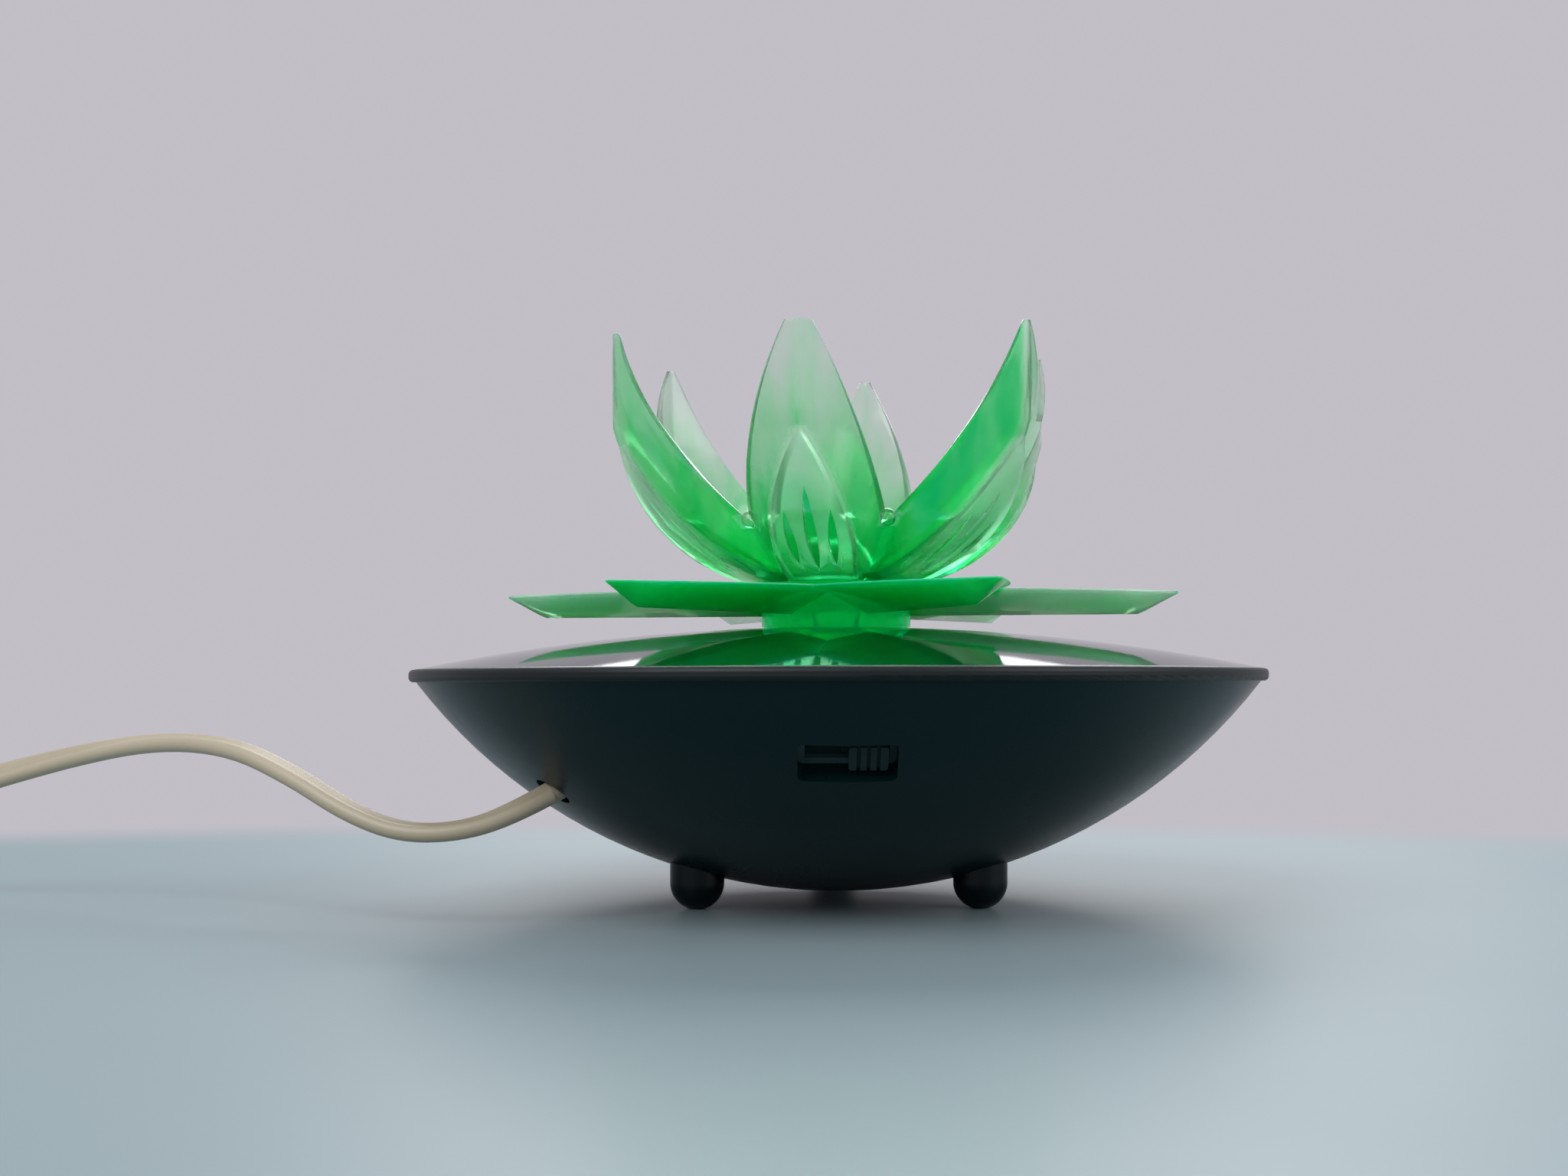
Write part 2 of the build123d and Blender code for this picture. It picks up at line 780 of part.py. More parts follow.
filament_z = cap_top + filament_height
filament_foot = cap_top + filament_root
with BuildPart() as bulb_filament:
    with BuildLine() as wire_route:
        FilletPolyline(
            (-stem_radius / 2, 0, filament_foot),
            (-filament_span, 0, filament_z),
            (filament_span, 0, filament_z),
            (stem_radius / 2, 0, filament_foot),
            radius=filament_bend,
        )
    with BuildSketch(Plane(origin=wire_route.line @ 0, z_dir=wire_route.line % 0)):
        Circle(filament_radius)
    sweep(path=wire_route.line)
    add(bulb_stem.part, mode=Mode.SUBTRACT)
save(bulb_filament.part, "bulb_filament")

# Lampholder: insulating body with a threaded brass shell, centre contact and side tab
shell_inside = cap_radius + shell_clearance
shell_outside = shell_inside + shell_wall
floor_z = holder_bottom + holder_floor
shell_low = floor_z + contact_thickness + shell_rise
shell_high = cap_top - thread_pitch / 2
with BuildPart() as lampholder:
    with BuildSketch(Plane.XY.offset(holder_bottom)):
        Circle(holder_radius)
    extrude(amount=holder_top - holder_bottom)
    fillet(lampholder.edges().group_by(Axis.Z)[-1], rim_round)
    with BuildSketch(Plane.XY.offset(floor_z)):
        Circle(shell_outside)
    extrude(amount=holder_top - floor_z, mode=Mode.SUBTRACT)
    with BuildSketch(Plane.XY.offset(floor_z)):
        with Locations((-contact_reach / 2, 0)):
            Rectangle(contact_reach, contact_width)
    extrude(amount=contact_thickness, mode=Mode.SUBTRACT)
    with BuildSketch(Plane.XY.offset(shell_low)):
        with Locations((contact_reach / 2, 0)):
            Rectangle(contact_reach, contact_width)
    extrude(amount=contact_thickness, mode=Mode.SUBTRACT)
    with BuildSketch(Plane.XY.offset(holder_bottom)):
        Circle(small_screw + pilot_clearance)
    extrude(amount=small_screw_length - strip_thickness, mode=Mode.SUBTRACT)
save(lampholder.part, "lampholder")

with BuildPart() as holder_shell:
    with BuildSketch(Plane.XY.offset(shell_low)):
        Circle(shell_outside)
        Circle(shell_inside, mode=Mode.SUBTRACT)
    extrude(amount=shell_high - shell_low)
save(holder_shell.part, "holder_shell")

with BuildPart() as holder_tab:
    with BuildSketch(Plane.XY.offset(shell_low)):
        with Locations((contact_reach / 2, 0)):
            Rectangle(contact_reach, contact_width)
        Circle(shell_outside, mode=Mode.SUBTRACT)
    extrude(amount=contact_thickness)
save(holder_tab.part, "holder_tab")

with BuildPart() as holder_contact:
    with BuildSketch(Plane.XY.offset(floor_z)):
        with Locations((-contact_reach / 2, 0)):
            Rectangle(contact_reach, contact_width)
        Circle(contact_radius + shell_wall)
    extrude(amount=contact_thickness)
    with BuildSketch(Plane.XY.offset(floor_z)):
        Circle(contact_radius)
    extrude(amount=bulb_bottom - floor_z)
save(holder_contact.part, "holder_contact")

with BuildPart() as holder_bracket:
    with BuildSketch(Plane.XY.offset(strip_z)):
        SlotOverall(strip_length, strip_width)
        with Locations((-strip_hole_place, 0), (0, 0), (strip_hole_place, 0)):
            Circle(small_screw + screw_clearance, mode=Mode.SUBTRACT)
    extrude(amount=strip_thickness)
save(holder_bracket.part, "holder_bracket")

small = (small_screw, small_screw_length, small_head, small_head_height)
holder_screw = screw_group([Plane(origin=(0, 0, strip_z), z_dir=(0, 0, -1))], *small)
save(holder_screw, "holder_screw")
bracket_places = [Plane(origin=(side * strip_hole_place, 0, holder_bottom)) for side in (-1, 1)]
bracket_screws = screw_group(bracket_places, *small)
save(bracket_screws, "bracket_screws")

# Slide switch: steel plate behind the slot, body, carriage with its ribbed knob, and tabs
plate_face = slot_plane.offset(-slot_depth)
body_face = plate_face.offset(-plate_thickness)
window_length = knob_length + knob_travel + 2 * knob_clearance
window_width = knob_width + 2 * knob_clearance
cavity_length = carriage_length + knob_travel + 2 * knob_clearance
cavity_width = carriage_width + 2 * knob_clearance
cavity_depth = carriage_height + 2 * knob_clearance
with BuildPart() as switch_plate:
    with BuildSketch(plate_face):
        SlotOverall(plate_length, plate_width)
        Rectangle(window_length, window_width, mode=Mode.SUBTRACT)
        with Locations((-plate_hole_place, 0), (plate_hole_place, 0)):
            Circle(tiny_screw + screw_clearance, mode=Mode.SUBTRACT)
    extrude(amount=-plate_thickness)
save(switch_plate.part, "switch_plate")

body_length = cavity_length + 2 * switch_wall
with BuildPart() as switch_body:
    with BuildSketch(body_face):
        Rectangle(body_length, cavity_width + 2 * switch_wall)
    extrude(amount=-switch_height)
    with BuildSketch(body_face):
        Rectangle(cavity_length, cavity_width)
    extrude(amount=-cavity_depth, mode=Mode.SUBTRACT)
save(switch_body.part, "switch_body")

with BuildPart() as switch_slider:
    with BuildSketch(body_face.offset(-knob_clearance)):
        with Locations((knob_rest, 0)):
            Rectangle(carriage_length, carriage_width)
    extrude(amount=-carriage_height)
    with BuildSketch(body_face.offset(-knob_clearance)):
        with Locations((knob_rest, 0)):
            RectangleRounded(knob_length, knob_width, knob_rib)
    extrude(amount=slot_depth + plate_thickness + knob_clearance - knob_recess)
    with BuildSketch(slot_plane.offset(-knob_recess)):
        with Locations((knob_rest, 0)):
            with GridLocations(knob_length / (knob_ribs + 1), 0, knob_ribs, 1):
                Rectangle(knob_rib, knob_width)
    extrude(amount=-knob_rib, mode=Mode.SUBTRACT)
save(switch_slider.part, "switch_slider")

tiny_places = [
    Plane(origin=body_face.from_local_coords((side * plate_hole_place, 0, 0)), z_dir=-slot_plane.z_dir)
    for side in (-1, 1)
]
switch_screws = screw_group(tiny_places, tiny_screw, tiny_screw_length, tiny_head, tiny_head_height)
save(switch_screws, "switch_screws")

back_face = body_face.offset(-switch_height)
with BuildPart() as switch_tabs:
    with BuildSketch(back_face):
        with GridLocations(tab_pitch, 0, 3, 1):
            Rectangle(tab_width, tab_thickness)
    extrude(amount=-tab_height)
save(switch_tabs.part, "switch_tabs")

# Cord inside the base, its clamp, and the three wires
inner_end = inner_corner + inward * inner_run
inner_points = [tuple(cord_exit), tuple(inner_corner), tuple(inner_end)]
save(tube(inner_points, cord_radius, "cord_inner"), "cord_inner")

clamp_height = 2 * cord_radius + clamp_top
with BuildPart() as cord_clamp:
    with BuildSketch(clamp_plane):
        Rectangle(clamp_length, clamp_width)
    extrude(amount=clamp_height)
    with BuildSketch(clamp_plane.offset(cord_radius)):
        Rectangle(2 * cord_radius, clamp_width)
    extrude(amount=-cord_radius, mode=Mode.SUBTRACT)
    with BuildSketch(Plane(origin=clamp_plane.offset(cord_radius).origin, z_dir=inward)):
        Circle(cord_radius)
    extrude(amount=clamp_width, both=True, mode=Mode.SUBTRACT)
    with BuildSketch(clamp_plane):
        with Locations((-clamp_screw_place, 0), (clamp_screw_place, 0)):
            Circle(small_screw + screw_clearance)
    extrude(amount=clamp_height, mode=Mode.SUBTRACT)
save(cord_clamp.part, "cord_clamp")

clamp_places = [
    Plane(origin=clamp_plane.from_local_coords((side * clamp_screw_place, 0, clamp_height))) for side in (-1, 1)
]
clamp_screw_length = clamp_height + small_screw_length - pilot_clearance
clamp_screws = screw_group(clamp_places, small_screw, clamp_screw_length, small_head, small_head_height)
save(clamp_screws, "clamp_screws")

beside = clamp_plane.x_dir * (wire_spacing / 2)
tab_ends = [back_face.from_local_coords((side * tab_pitch, 0, -tab_height)) for side in (-1, 0, 1)]
tab_away = -slot_plane.z_dir * wire_end
sideways = Vector(wire_end, 0, 0)
neutral_end = Vector(-contact_reach, 0, floor_z + contact_thickness / 2)
switched_end = Vector(contact_reach, 0, shell_low + contact_thickness / 2)
neutral_points = [
    tuple(inner_end - beside),
    tuple(inner_end - beside + inward * wire_start),
    (-20.0, -20.0, 26.8),
    (-15.5, -13.0, 25.0),
    (-23.0, -5.5, 21.5),
    tuple(neutral_end - sideways),
    tuple(neutral_end),
]
live_points = [
    tuple(inner_end + beside),
    tuple(inner_end + beside + inward * wire_start),
    (-18.0, -25.0, 30.0),
    (-9.0, -45.0, 41.5),
    tuple(tab_ends[0] + tab_away),
    tuple(tab_ends[0]),
]
switched_points = [
    tuple(tab_ends[1]),
    tuple(tab_ends[1] + tab_away),
    (3.0, -44.0, 42.0),
    (10.0, -27.0, 34.0),
    (24.0, -8.0, 23.5),
    tuple(switched_end + sideways),
    tuple(switched_end),
]
save(tube(neutral_points, wire_radius, "wire_neutral"), "wire_neutral")
save(tube(live_points, wire_radius, "wire_live"), "wire_live")
save(tube(switched_points, wire_radius, "wire_switched"), "wire_switched")

# Cord outside: the free stretch stands in the air by its own stiffness and comes down to the coil
save(tube(cord_points, cord_radius, "cord_free"), "cord_free")

coil_start = Vector(*cord_points[-1])
coil_heading = (coil_start - Vector(*cord_points[-2])).normalized()
coil_away = Vector(0, 0, 1).cross(coil_heading)
coil_centre = coil_start + coil_heading * coil_lead + coil_away * coil_outer
coil_last = 2 * coil_half_turns + 1


def coil_radius(half_turns):
    """Radius at the end of a number of half turns: inward to the climb, then out again."""
    return coil_outer - coil_step * min(half_turns, coil_last - half_turns)


def coil_height(half_turns):
    """Height above the bottom layer, which the half turn at the middle climbs."""
    return coil_layer if half_turns > coil_half_turns else 0


def coil_point(half_turns, share):
    """Point of the coil a share of the way round the half turn that starts there."""
    start = coil_radius(half_turns)
    end = coil_radius(half_turns + 1)
    side = 1 if half_turns % 2 == 0 else -1
    turn = pi * share
    low = coil_height(half_turns)
    climb = (coil_height(half_turns + 1) - low) * (1 - cos(turn)) / 2
    across = side * ((start - end) / 2 + (start + end) / 2 * cos(turn))
    along = side * (start + end) / 2 * sin(turn)
    return coil_centre - coil_away * across + coil_heading * along + Vector(0, 0, low + climb)


coil_exit = coil_point(coil_last - 1, 1)
with BuildPart() as cord_coil:
    with BuildLine() as turns:
        Line(coil_start, coil_point(0, 0))
        for half in range(coil_last):
            ThreePointArc(coil_point(half, 0), coil_point(half, 0.5), coil_point(half, 1))
        Line(coil_exit, coil_exit - coil_heading * coil_tail)
    with BuildSketch(Plane(origin=coil_start, z_dir=coil_heading)):
        Circle(cord_radius)
    sweep(path=turns.wires()[0])
save(cord_coil.part, "cord_coil")

coil_length = turns.wires()[0].length
samples = [coil_point(half, step / coil_samples) for half in range(coil_last) for step in range(coil_samples)]
near = coil_samples + coil_samples // 2
least = min(
    (samples[first] - samples[second]).length
    for first in range(len(samples))
    for second in range(first + near, len(samples))
)
print(f"cord_coil: length {coil_length:.1f}, least gap {least - 2 * cord_radius:.2f}")
print(f"cord_coil: volume ratio {cord_coil.part.volume / (pi * cord_radius**2 * coil_length):.4f}")

# Plug: moulded body with a tapered tail, and two flat blades
plug_start = coil_exit - coil_heading * coil_tail
plug_plane = Plane(origin=plug_start, x_dir=coil_away, z_dir=-coil_heading)
plug_half = plug_start.Z
with BuildPart() as plug_body:
    with BuildSketch(plug_plane.offset(plug_tail)):
        RectangleRounded(plug_width, 2 * plug_half, plug_round)
    extrude(amount=plug_length - plug_tail)
    chamfer(plug_body.faces().sort_by(Axis((0, 0, 0), tuple(plug_plane.z_dir)))[0].edges(), plug_round / 2)
    with BuildSketch(plug_plane):
        Circle(cord_radius + wire_radius)
    with BuildSketch(plug_plane.offset(plug_tail)):
        Circle(plug_tail_radius)
    loft()
save(plug_body.part, "plug_body")

with BuildPart() as plug_blades:
    with BuildSketch(plug_plane.offset(plug_length)):
        with Locations((-blade_spacing / 2, 0), (blade_spacing / 2, 0)):
            Rectangle(blade_thickness, blade_width)
    extrude(amount=blade_length)
    hole_place = plug_plane.from_local_coords((0, 0, plug_length + blade_length - blade_hole_place))
    with BuildSketch(Plane(origin=hole_place, x_dir=plug_plane.z_dir, z_dir=plug_plane.x_dir)):
        Circle(blade_hole)
    extrude(amount=plug_width, both=True, mode=Mode.SUBTRACT)
save(plug_blades.part, "plug_blades")
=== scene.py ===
from math import atan2, cos, degrees, hypot, pi, radians, sin, sqrt, tan

import bmesh
import bpy
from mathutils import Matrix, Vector


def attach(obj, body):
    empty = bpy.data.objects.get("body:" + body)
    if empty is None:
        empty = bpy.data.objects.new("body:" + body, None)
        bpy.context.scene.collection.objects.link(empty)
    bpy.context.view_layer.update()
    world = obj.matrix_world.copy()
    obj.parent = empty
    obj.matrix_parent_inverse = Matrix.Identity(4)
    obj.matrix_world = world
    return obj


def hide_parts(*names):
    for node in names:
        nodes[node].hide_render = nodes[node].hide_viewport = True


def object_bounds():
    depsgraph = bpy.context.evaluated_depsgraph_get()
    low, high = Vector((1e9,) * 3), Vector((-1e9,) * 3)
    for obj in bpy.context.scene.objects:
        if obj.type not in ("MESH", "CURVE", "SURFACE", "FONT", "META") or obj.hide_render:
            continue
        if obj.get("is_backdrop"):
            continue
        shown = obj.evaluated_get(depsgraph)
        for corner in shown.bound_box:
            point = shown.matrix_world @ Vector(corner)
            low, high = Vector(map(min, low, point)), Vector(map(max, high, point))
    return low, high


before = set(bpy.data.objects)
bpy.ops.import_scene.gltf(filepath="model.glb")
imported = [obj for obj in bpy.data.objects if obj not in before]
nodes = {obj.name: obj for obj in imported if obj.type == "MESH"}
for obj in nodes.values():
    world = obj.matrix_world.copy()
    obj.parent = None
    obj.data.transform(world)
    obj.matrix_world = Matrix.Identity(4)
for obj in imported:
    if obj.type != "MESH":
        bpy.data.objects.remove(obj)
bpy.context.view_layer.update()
scene = bpy.context.scene

# Lengths are in millimetres where nothing else is said, and times mm they are metres.
mm = 0.001

# Camera: level with the saucer, in front of the switch slot, a little left of the flower's axis.
# The lens is shifted up so that the saucer's rim lies below the middle, as in the photograph.
photo_width = 2048
focal_pixels = 2510
shift_pixels = 125
camera_place = (-10.3, -380, 42.6)
camera_roll = 0.12
camera_data = bpy.data.cameras.new("photo_camera")
camera_data.sensor_width = 36
camera_data.lens = camera_data.sensor_width * focal_pixels / photo_width
camera_data.shift_y = shift_pixels / photo_width
camera_data.clip_start = 0.01
camera = bpy.data.objects.new("photo_camera", camera_data)
camera.location = Vector(camera_place) * mm
camera.rotation_euler = (radians(90), radians(camera_roll), 0)
scene.collection.objects.link(camera)
scene.camera = camera

# Mains cord: flat twin flex in soft beige vinyl, stiff enough to stand in a wave from its hole in
# the saucer. Its unseen length is wound on edge in two layers, beside the lamp at the left.
cord_exit = (-52.6, -34.1, 22.9)
cord_route = [
    cord_exit,
    (-59.6, -37.6, 19.0),
    (-68.4, -40.1, 16.4),
    (-78.3, -40.3, 16.4),
    (-88.0, -38.0, 20.0),
    (-98.8, -32.6, 26.0),
    (-112.5, -24.0, 31.3),
    (-131.0, -11.0, 31.9),
    (-152.5, 1.0, 28.3),
    (-176.0, 7.0, 22.3),
    (-198.0, 9.5, 12.9),
    (-216.0, 10.0, 4.4),
    (-234.0, 9.5, 2.6),
    (-245.0, 9.5, 2.6),
]
cord_width = 5.2
cord_thickness = 3.0
coil_outer = 40.0
coil_step = 2.7
coil_half_turns = 7
coil_layer = 5.2
coil_lead = 5.2
coil_tail = 22.0
coil_steps = 8
coil_tail_bend = 0.4
coil_last = 2 * coil_half_turns + 1
coil_start = Vector(cord_route[-1])
coil_heading = (coil_start - Vector(cord_route[-2])).normalized()
coil_away = Vector((0, 0, 1)).cross(coil_heading)
coil_centre = coil_start + coil_heading * coil_lead + coil_away * coil_outer


def coil_radius(half_turns):
    """Radius after a number of half turns: inward to the climb, then out again."""
    return coil_outer - coil_step * min(half_turns, coil_last - half_turns)


def coil_point(half, share):
    """Point of the coil a share of the way round one of its half turns."""
    start = coil_radius(half)
    end = coil_radius(half + 1)
    side = 1 if half % 2 == 0 else -1
    turn = pi * share
    low = coil_layer if half > coil_half_turns else 0
    high = coil_layer if half + 1 > coil_half_turns else 0
    across = side * ((start - end) / 2 + (start + end) / 2 * cos(turn))
    along = side * (start + end) / 2 * sin(turn)
    rise = low + (high - low) * (1 - cos(turn)) / 2
    return coil_centre - coil_away * across + coil_heading * along + Vector((0, 0, rise))


coil_route = [
    coil_point(half, step / coil_steps)
    for half in range(coil_last)
    for step in range(coil_steps)
]
coil_exit = coil_point(coil_last - 1, 1)
plug_start = coil_exit - coil_heading * coil_tail
cord_points = [Vector(point) for point in cord_route] + coil_route
cord_points += [coil_exit, coil_exit - coil_heading * coil_tail * coil_tail_bend, plug_start]

# A twin flex twists as it goes: wide side upright at the left, turned away on the way to the saucer.
cord_twist = [70, 78, 80, 80, 84, 86, 84, 74, 48, 18, 4, 0, 0, 0]

profile = bpy.data.curves.new("cord_profile", "CURVE")
profile.dimensions = "2D"
lobe = cord_thickness / 2
lobe_place = cord_width / 2 - lobe
lobe_steps = 8
crease_share = 0.62
crease = crease_share * lobe
corners = []
for side, base in ((1, -90), (-1, 90)):
    for step in range(lobe_steps + 1):
        angle = radians(base + 180 * step / lobe_steps)
        corners.append((side * lobe_place + lobe * cos(angle), lobe * sin(angle)))
    corners.append((0, side * crease))
ring = profile.splines.new("POLY")
ring.points.add(len(corners) - 1)
for point, (x, y) in zip(ring.points, corners):
    point.co = (x * mm, y * mm, 0, 1)
ring.use_cyclic_u = True
profile_object = bpy.data.objects.new("cord_profile", profile)
scene.collection.objects.link(profile_object)

cord_curve = bpy.data.curves.new("cord", "CURVE")
cord_curve.dimensions = "3D"
cord_curve.twist_mode = "Z_UP"
cord_curve.use_fill_caps = True
cord_curve.resolution_u = 6
spline = cord_curve.splines.new("NURBS")
spline.points.add(len(cord_points) - 1)
for index, (point, place) in enumerate(zip(spline.points, cord_points)):
    point.co = (*(place * mm), 1)
    point.tilt = radians(90 + (cord_twist[index] if index < len(cord_twist) else 0))
spline.order_u = 3
spline.use_endpoint_u = True
cord_line = bpy.data.objects.new("cord_line", cord_curve)
scene.collection.objects.link(cord_line)


def evaluated_mesh(thing):
    """The mesh that an object's curve or modifiers give."""
    graph = bpy.context.evaluated_depsgraph_get()
    return bpy.data.meshes.new_from_object(thing.evaluated_get(graph), depsgraph=graph)


cord_path = [tuple(vertex.co) for vertex in evaluated_mesh(cord_line).vertices]
cord_curve.bevel_mode = "OBJECT"
cord_curve.bevel_object = profile_object
cord = bpy.data.objects.new("cord", evaluated_mesh(cord_line))
scene.collection.objects.link(cord)
bpy.data.objects.remove(cord_line)
bpy.data.objects.remove(profile_object)

cloud_detail = 4
grain_detail = 2
grain_height = 0.05
gloss_from = 0.3
gloss_to = 0.7


def moulded_surface():
    """Node group for moulded parts: broad tone and the height of a fine grain."""
    group = bpy.data.node_groups.new("moulded_surface", "ShaderNodeTree")
    for name, kind in (("Place", "Vector"), ("Cloud", "Float"), ("Grain", "Float"), ("Depth", "Float")):
        group.interface.new_socket(name=name, in_out="INPUT", socket_type=f"NodeSocket{kind}")
    for name in ("Tone", "Height"):
        group.interface.new_socket(name=name, in_out="OUTPUT", socket_type="NodeSocketFloat")
    given = group.nodes.new("NodeGroupInput")
    result = group.nodes.new("NodeGroupOutput")
    cloud = group.nodes.new("ShaderNodeTexNoise")
    cloud.inputs["Detail"].default_value = cloud_detail
    grain = group.nodes.new("ShaderNodeTexNoise")
    grain.inputs["Detail"].default_value = grain_detail
    lift = group.nodes.new("ShaderNodeMath")
    lift.operation = "MULTIPLY"
    join = group.links.new
    join(given.outputs["Place"], cloud.inputs["Vector"])
    join(given.outputs["Place"], grain.inputs["Vector"])
    join(given.outputs["Cloud"], cloud.inputs["Scale"])
    join(given.outputs["Grain"], grain.inputs["Scale"])
    join(grain.outputs["Fac"], lift.inputs[0])
    join(given.outputs["Depth"], lift.inputs[1])
    join(cloud.outputs["Fac"], result.inputs["Tone"])
    join(lift.outputs["Value"], result.inputs["Height"])
    return group


surface_group = moulded_surface()


def moulded(name, dark, light, rough, cloud=40, grain=2500, depth=0.2, **sockets):
    """Material from the moulded surface: two tones, a roughness range and plain socket values."""
    material = bpy.data.materials.new(name)
    material.use_nodes = True
    tree = material.node_tree
    shader = tree.nodes["Principled BSDF"]
    place = tree.nodes.new("ShaderNodeTexCoord")
    surface = tree.nodes.new("ShaderNodeGroup")
    surface.node_tree = surface_group
    surface.inputs["Cloud"].default_value = cloud
    surface.inputs["Grain"].default_value = grain
    surface.inputs["Depth"].default_value = depth
    tones = tree.nodes.new("ShaderNodeMix")
    tones.data_type = "RGBA"
    tones.inputs["A"].default_value = (*dark, 1)
    tones.inputs["B"].default_value = (*light, 1)
    gloss = tree.nodes.new("ShaderNodeMapRange")
    gloss.name = "Gloss"
    gloss.inputs["From Min"].default_value = gloss_from
    gloss.inputs["From Max"].default_value = gloss_to
    gloss.inputs["To Min"].default_value = rough[0]
    gloss.inputs["To Max"].default_value = rough[1]
    bump = tree.nodes.new("ShaderNodeBump")
    bump.inputs["Distance"].default_value = grain_height * mm
    join = tree.links.new
    join(place.outputs["Object"], surface.inputs["Place"])
    join(surface.outputs["Tone"], tones.inputs["Factor"])
    join(surface.outputs["Tone"], gloss.inputs["Value"])
    join(surface.outputs["Height"], bump.inputs["Height"])
    join(tones.outputs["Result"], shader.inputs["Base Color"])
    join(gloss.outputs["Result"], shader.inputs["Roughness"])
    join(bump.outputs["Normal"], shader.inputs["Normal"])
    for socket, value in sockets.items():
        shader.inputs[socket.replace("_", " ")].default_value = value
    return material


def dress(material, *names):
    """Give CAD nodes a material."""
    for name in names:
        nodes[name].data.materials.clear()
        nodes[name].data.materials.append(material)


vinyl = moulded("cord_vinyl", (0.37, 0.325, 0.225), (0.45, 0.40, 0.30), (0.38, 0.5), depth=0.4)
cord.data.materials.append(vinyl)
cord.data.shade_smooth()
dress(vinyl, "cord_inner", "plug_body")
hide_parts("cord_free", "cord_coil")
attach(cord, "base")

# Plug blades: two flat brass strips, one a little wider than the other, each with its hole. They are
# stamped, and the plug's vinyl is moulded round their roots.
brass = moulded("plug_brass", (0.55, 0.38, 0.14), (0.68, 0.50, 0.22), (0.22, 0.35), Metallic=1.0)
dress(brass, "plug_blades")

# Bowl: the deep half of the saucer, an injection-moulded shell in satin teal-black plastic. It has
# the switch slot in front and the cord's hole at the left, and three wells for the screws.
teal = moulded(
    "bowl_teal",
    (0.002, 0.012, 0.013),
    (0.003, 0.015, 0.017),
    (0.24, 0.34),
    depth=0.25,
    Specular_IOR_Level=0.17,
    Specular_Tint=(0.62, 0.92, 1.0, 1),
)
dress(teal, "bowl")

# Lid: a shallow dome in polished near-black plastic that mirrors the flower and the room. Its rounded
# flange overhangs the bowl, and three posts under it take the screws.
rim_start = 81.5
rim_end = 82.0
rim_roughness = 0.4
gloss_black = moulded(
    "lid_black",
    (0.001, 0.005, 0.0065),
    (0.0015, 0.007, 0.0085),
    (0.03, 0.07),
    depth=0.04,
    Specular_IOR_Level=0.3,
)

# The rim's rounding is satin, and the dome inside it polished.
lid_tree = gloss_black.node_tree
lid_place = lid_tree.nodes.new("ShaderNodeTexCoord")
lid_flat = lid_tree.nodes.new("ShaderNodeVectorMath")
lid_flat.operation = "MULTIPLY"
lid_flat.inputs[1].default_value = (1, 1, 0)
lid_reach = lid_tree.nodes.new("ShaderNodeVectorMath")
lid_reach.operation = "LENGTH"
rim_satin = lid_tree.nodes.new("ShaderNodeMapRange")
rim_satin.inputs["From Min"].default_value = rim_start * mm
rim_satin.inputs["From Max"].default_value = rim_end * mm
rim_satin.inputs["To Max"].default_value = rim_roughness
rim_gloss = lid_tree.nodes.new("ShaderNodeMath")
lid_join = lid_tree.links.new
lid_join(lid_place.outputs["Object"], lid_flat.inputs[0])
lid_join(lid_flat.outputs["Vector"], lid_reach.inputs[0])
lid_join(lid_reach.outputs["Value"], rim_satin.inputs["Value"])
lid_join(lid_tree.nodes["Gloss"].outputs["Result"], rim_gloss.inputs[0])
lid_join(rim_satin.outputs["Result"], rim_gloss.inputs[1])
lid_join(rim_gloss.outputs["Value"], lid_tree.nodes["Principled BSDF"].inputs["Roughness"])
dress(gloss_black, "lid")

# Feet: three round-ended plugs in gloss black plastic, pushed into the bowl's wells over the screws
# that hold the lid.
foot_black = moulded(
    "foot_black", (0.001, 0.005, 0.0065), (0.002, 0.007, 0.0085), (0.2, 0.3), Specular_IOR_Level=0.2
)
dress(foot_black, "foot_left", "foot_right", "foot_rear")

# Leaf ring: one injection-moulded star of clear green acrylic, six shallow keeled boats whose sides
# meet between neighbours, round a short collar. The collar's spigot plugs in the hole of the lid.
petal_count = 6
leaf_first = 22.5
leaf_root = 13.9
leaf_tip = 66.5
leaf_keel_end = 59.0
leaf_valley = 37.0
leaf_belly = 0.5
leaf_top = 7.0
leaf_keel = 2.5
leaf_plate = 2.0
leaf_edge = 0.35
leaf_tip_keel = 0.12
leaf_groove = 0.08
leaf_round = 0.1
leaf_tip_half = 0.3
leaf_half_steps = 4
leaf_inner_steps = 5
leaf_outer_steps = 22
leaf_under_frost = 0.7
leaf_weld = 0.02
leaf_paling = 0.4
# Painted light: how much paler each leaf is painted, counted round from the front, and the share of
# that which its top keeps.
leaf_painted_paleness = (0.0, 0.95, 0.8, 0.8, 0.85, 0.0)
leaf_top_painted_paleness = 0.3
collar_radius = 14.7
collar_bore = 12.7
collar_height = 8.8
collar_relief = 0.4
collar_upright = 0.3
collar_steps = 96
spigot_radius = 13.2
spigot_bore = 12.0
spigot_length = 7.6
sector = radians(180 / petal_count)
leaf_span = leaf_valley * cos(sector)
seat = max(vertex.co.z for vertex in nodes["leaf_ring"].data.vertices) / mm
land = seat - collar_height


def new_piece(name, points, faces, zones=()):
    """Object from points in millimetres, with zones on the points where they are given: how far the
    tone has paled, how frosted the surface is and how clear it stays seen edge-on."""
    mesh = bpy.data.meshes.new(name)
    mesh.from_pydata([(x * mm, y * mm, z * mm) for x, y, z in points], [], faces)
    if zones:
        layer = mesh.color_attributes.new("zones", "FLOAT_COLOR", "POINT")
        for item, colour in zip(layer.data, zones):
            item.color = (*colour, 1)
    thing = bpy.data.objects.new(name, mesh)
    scene.collection.objects.link(thing)
    return thing


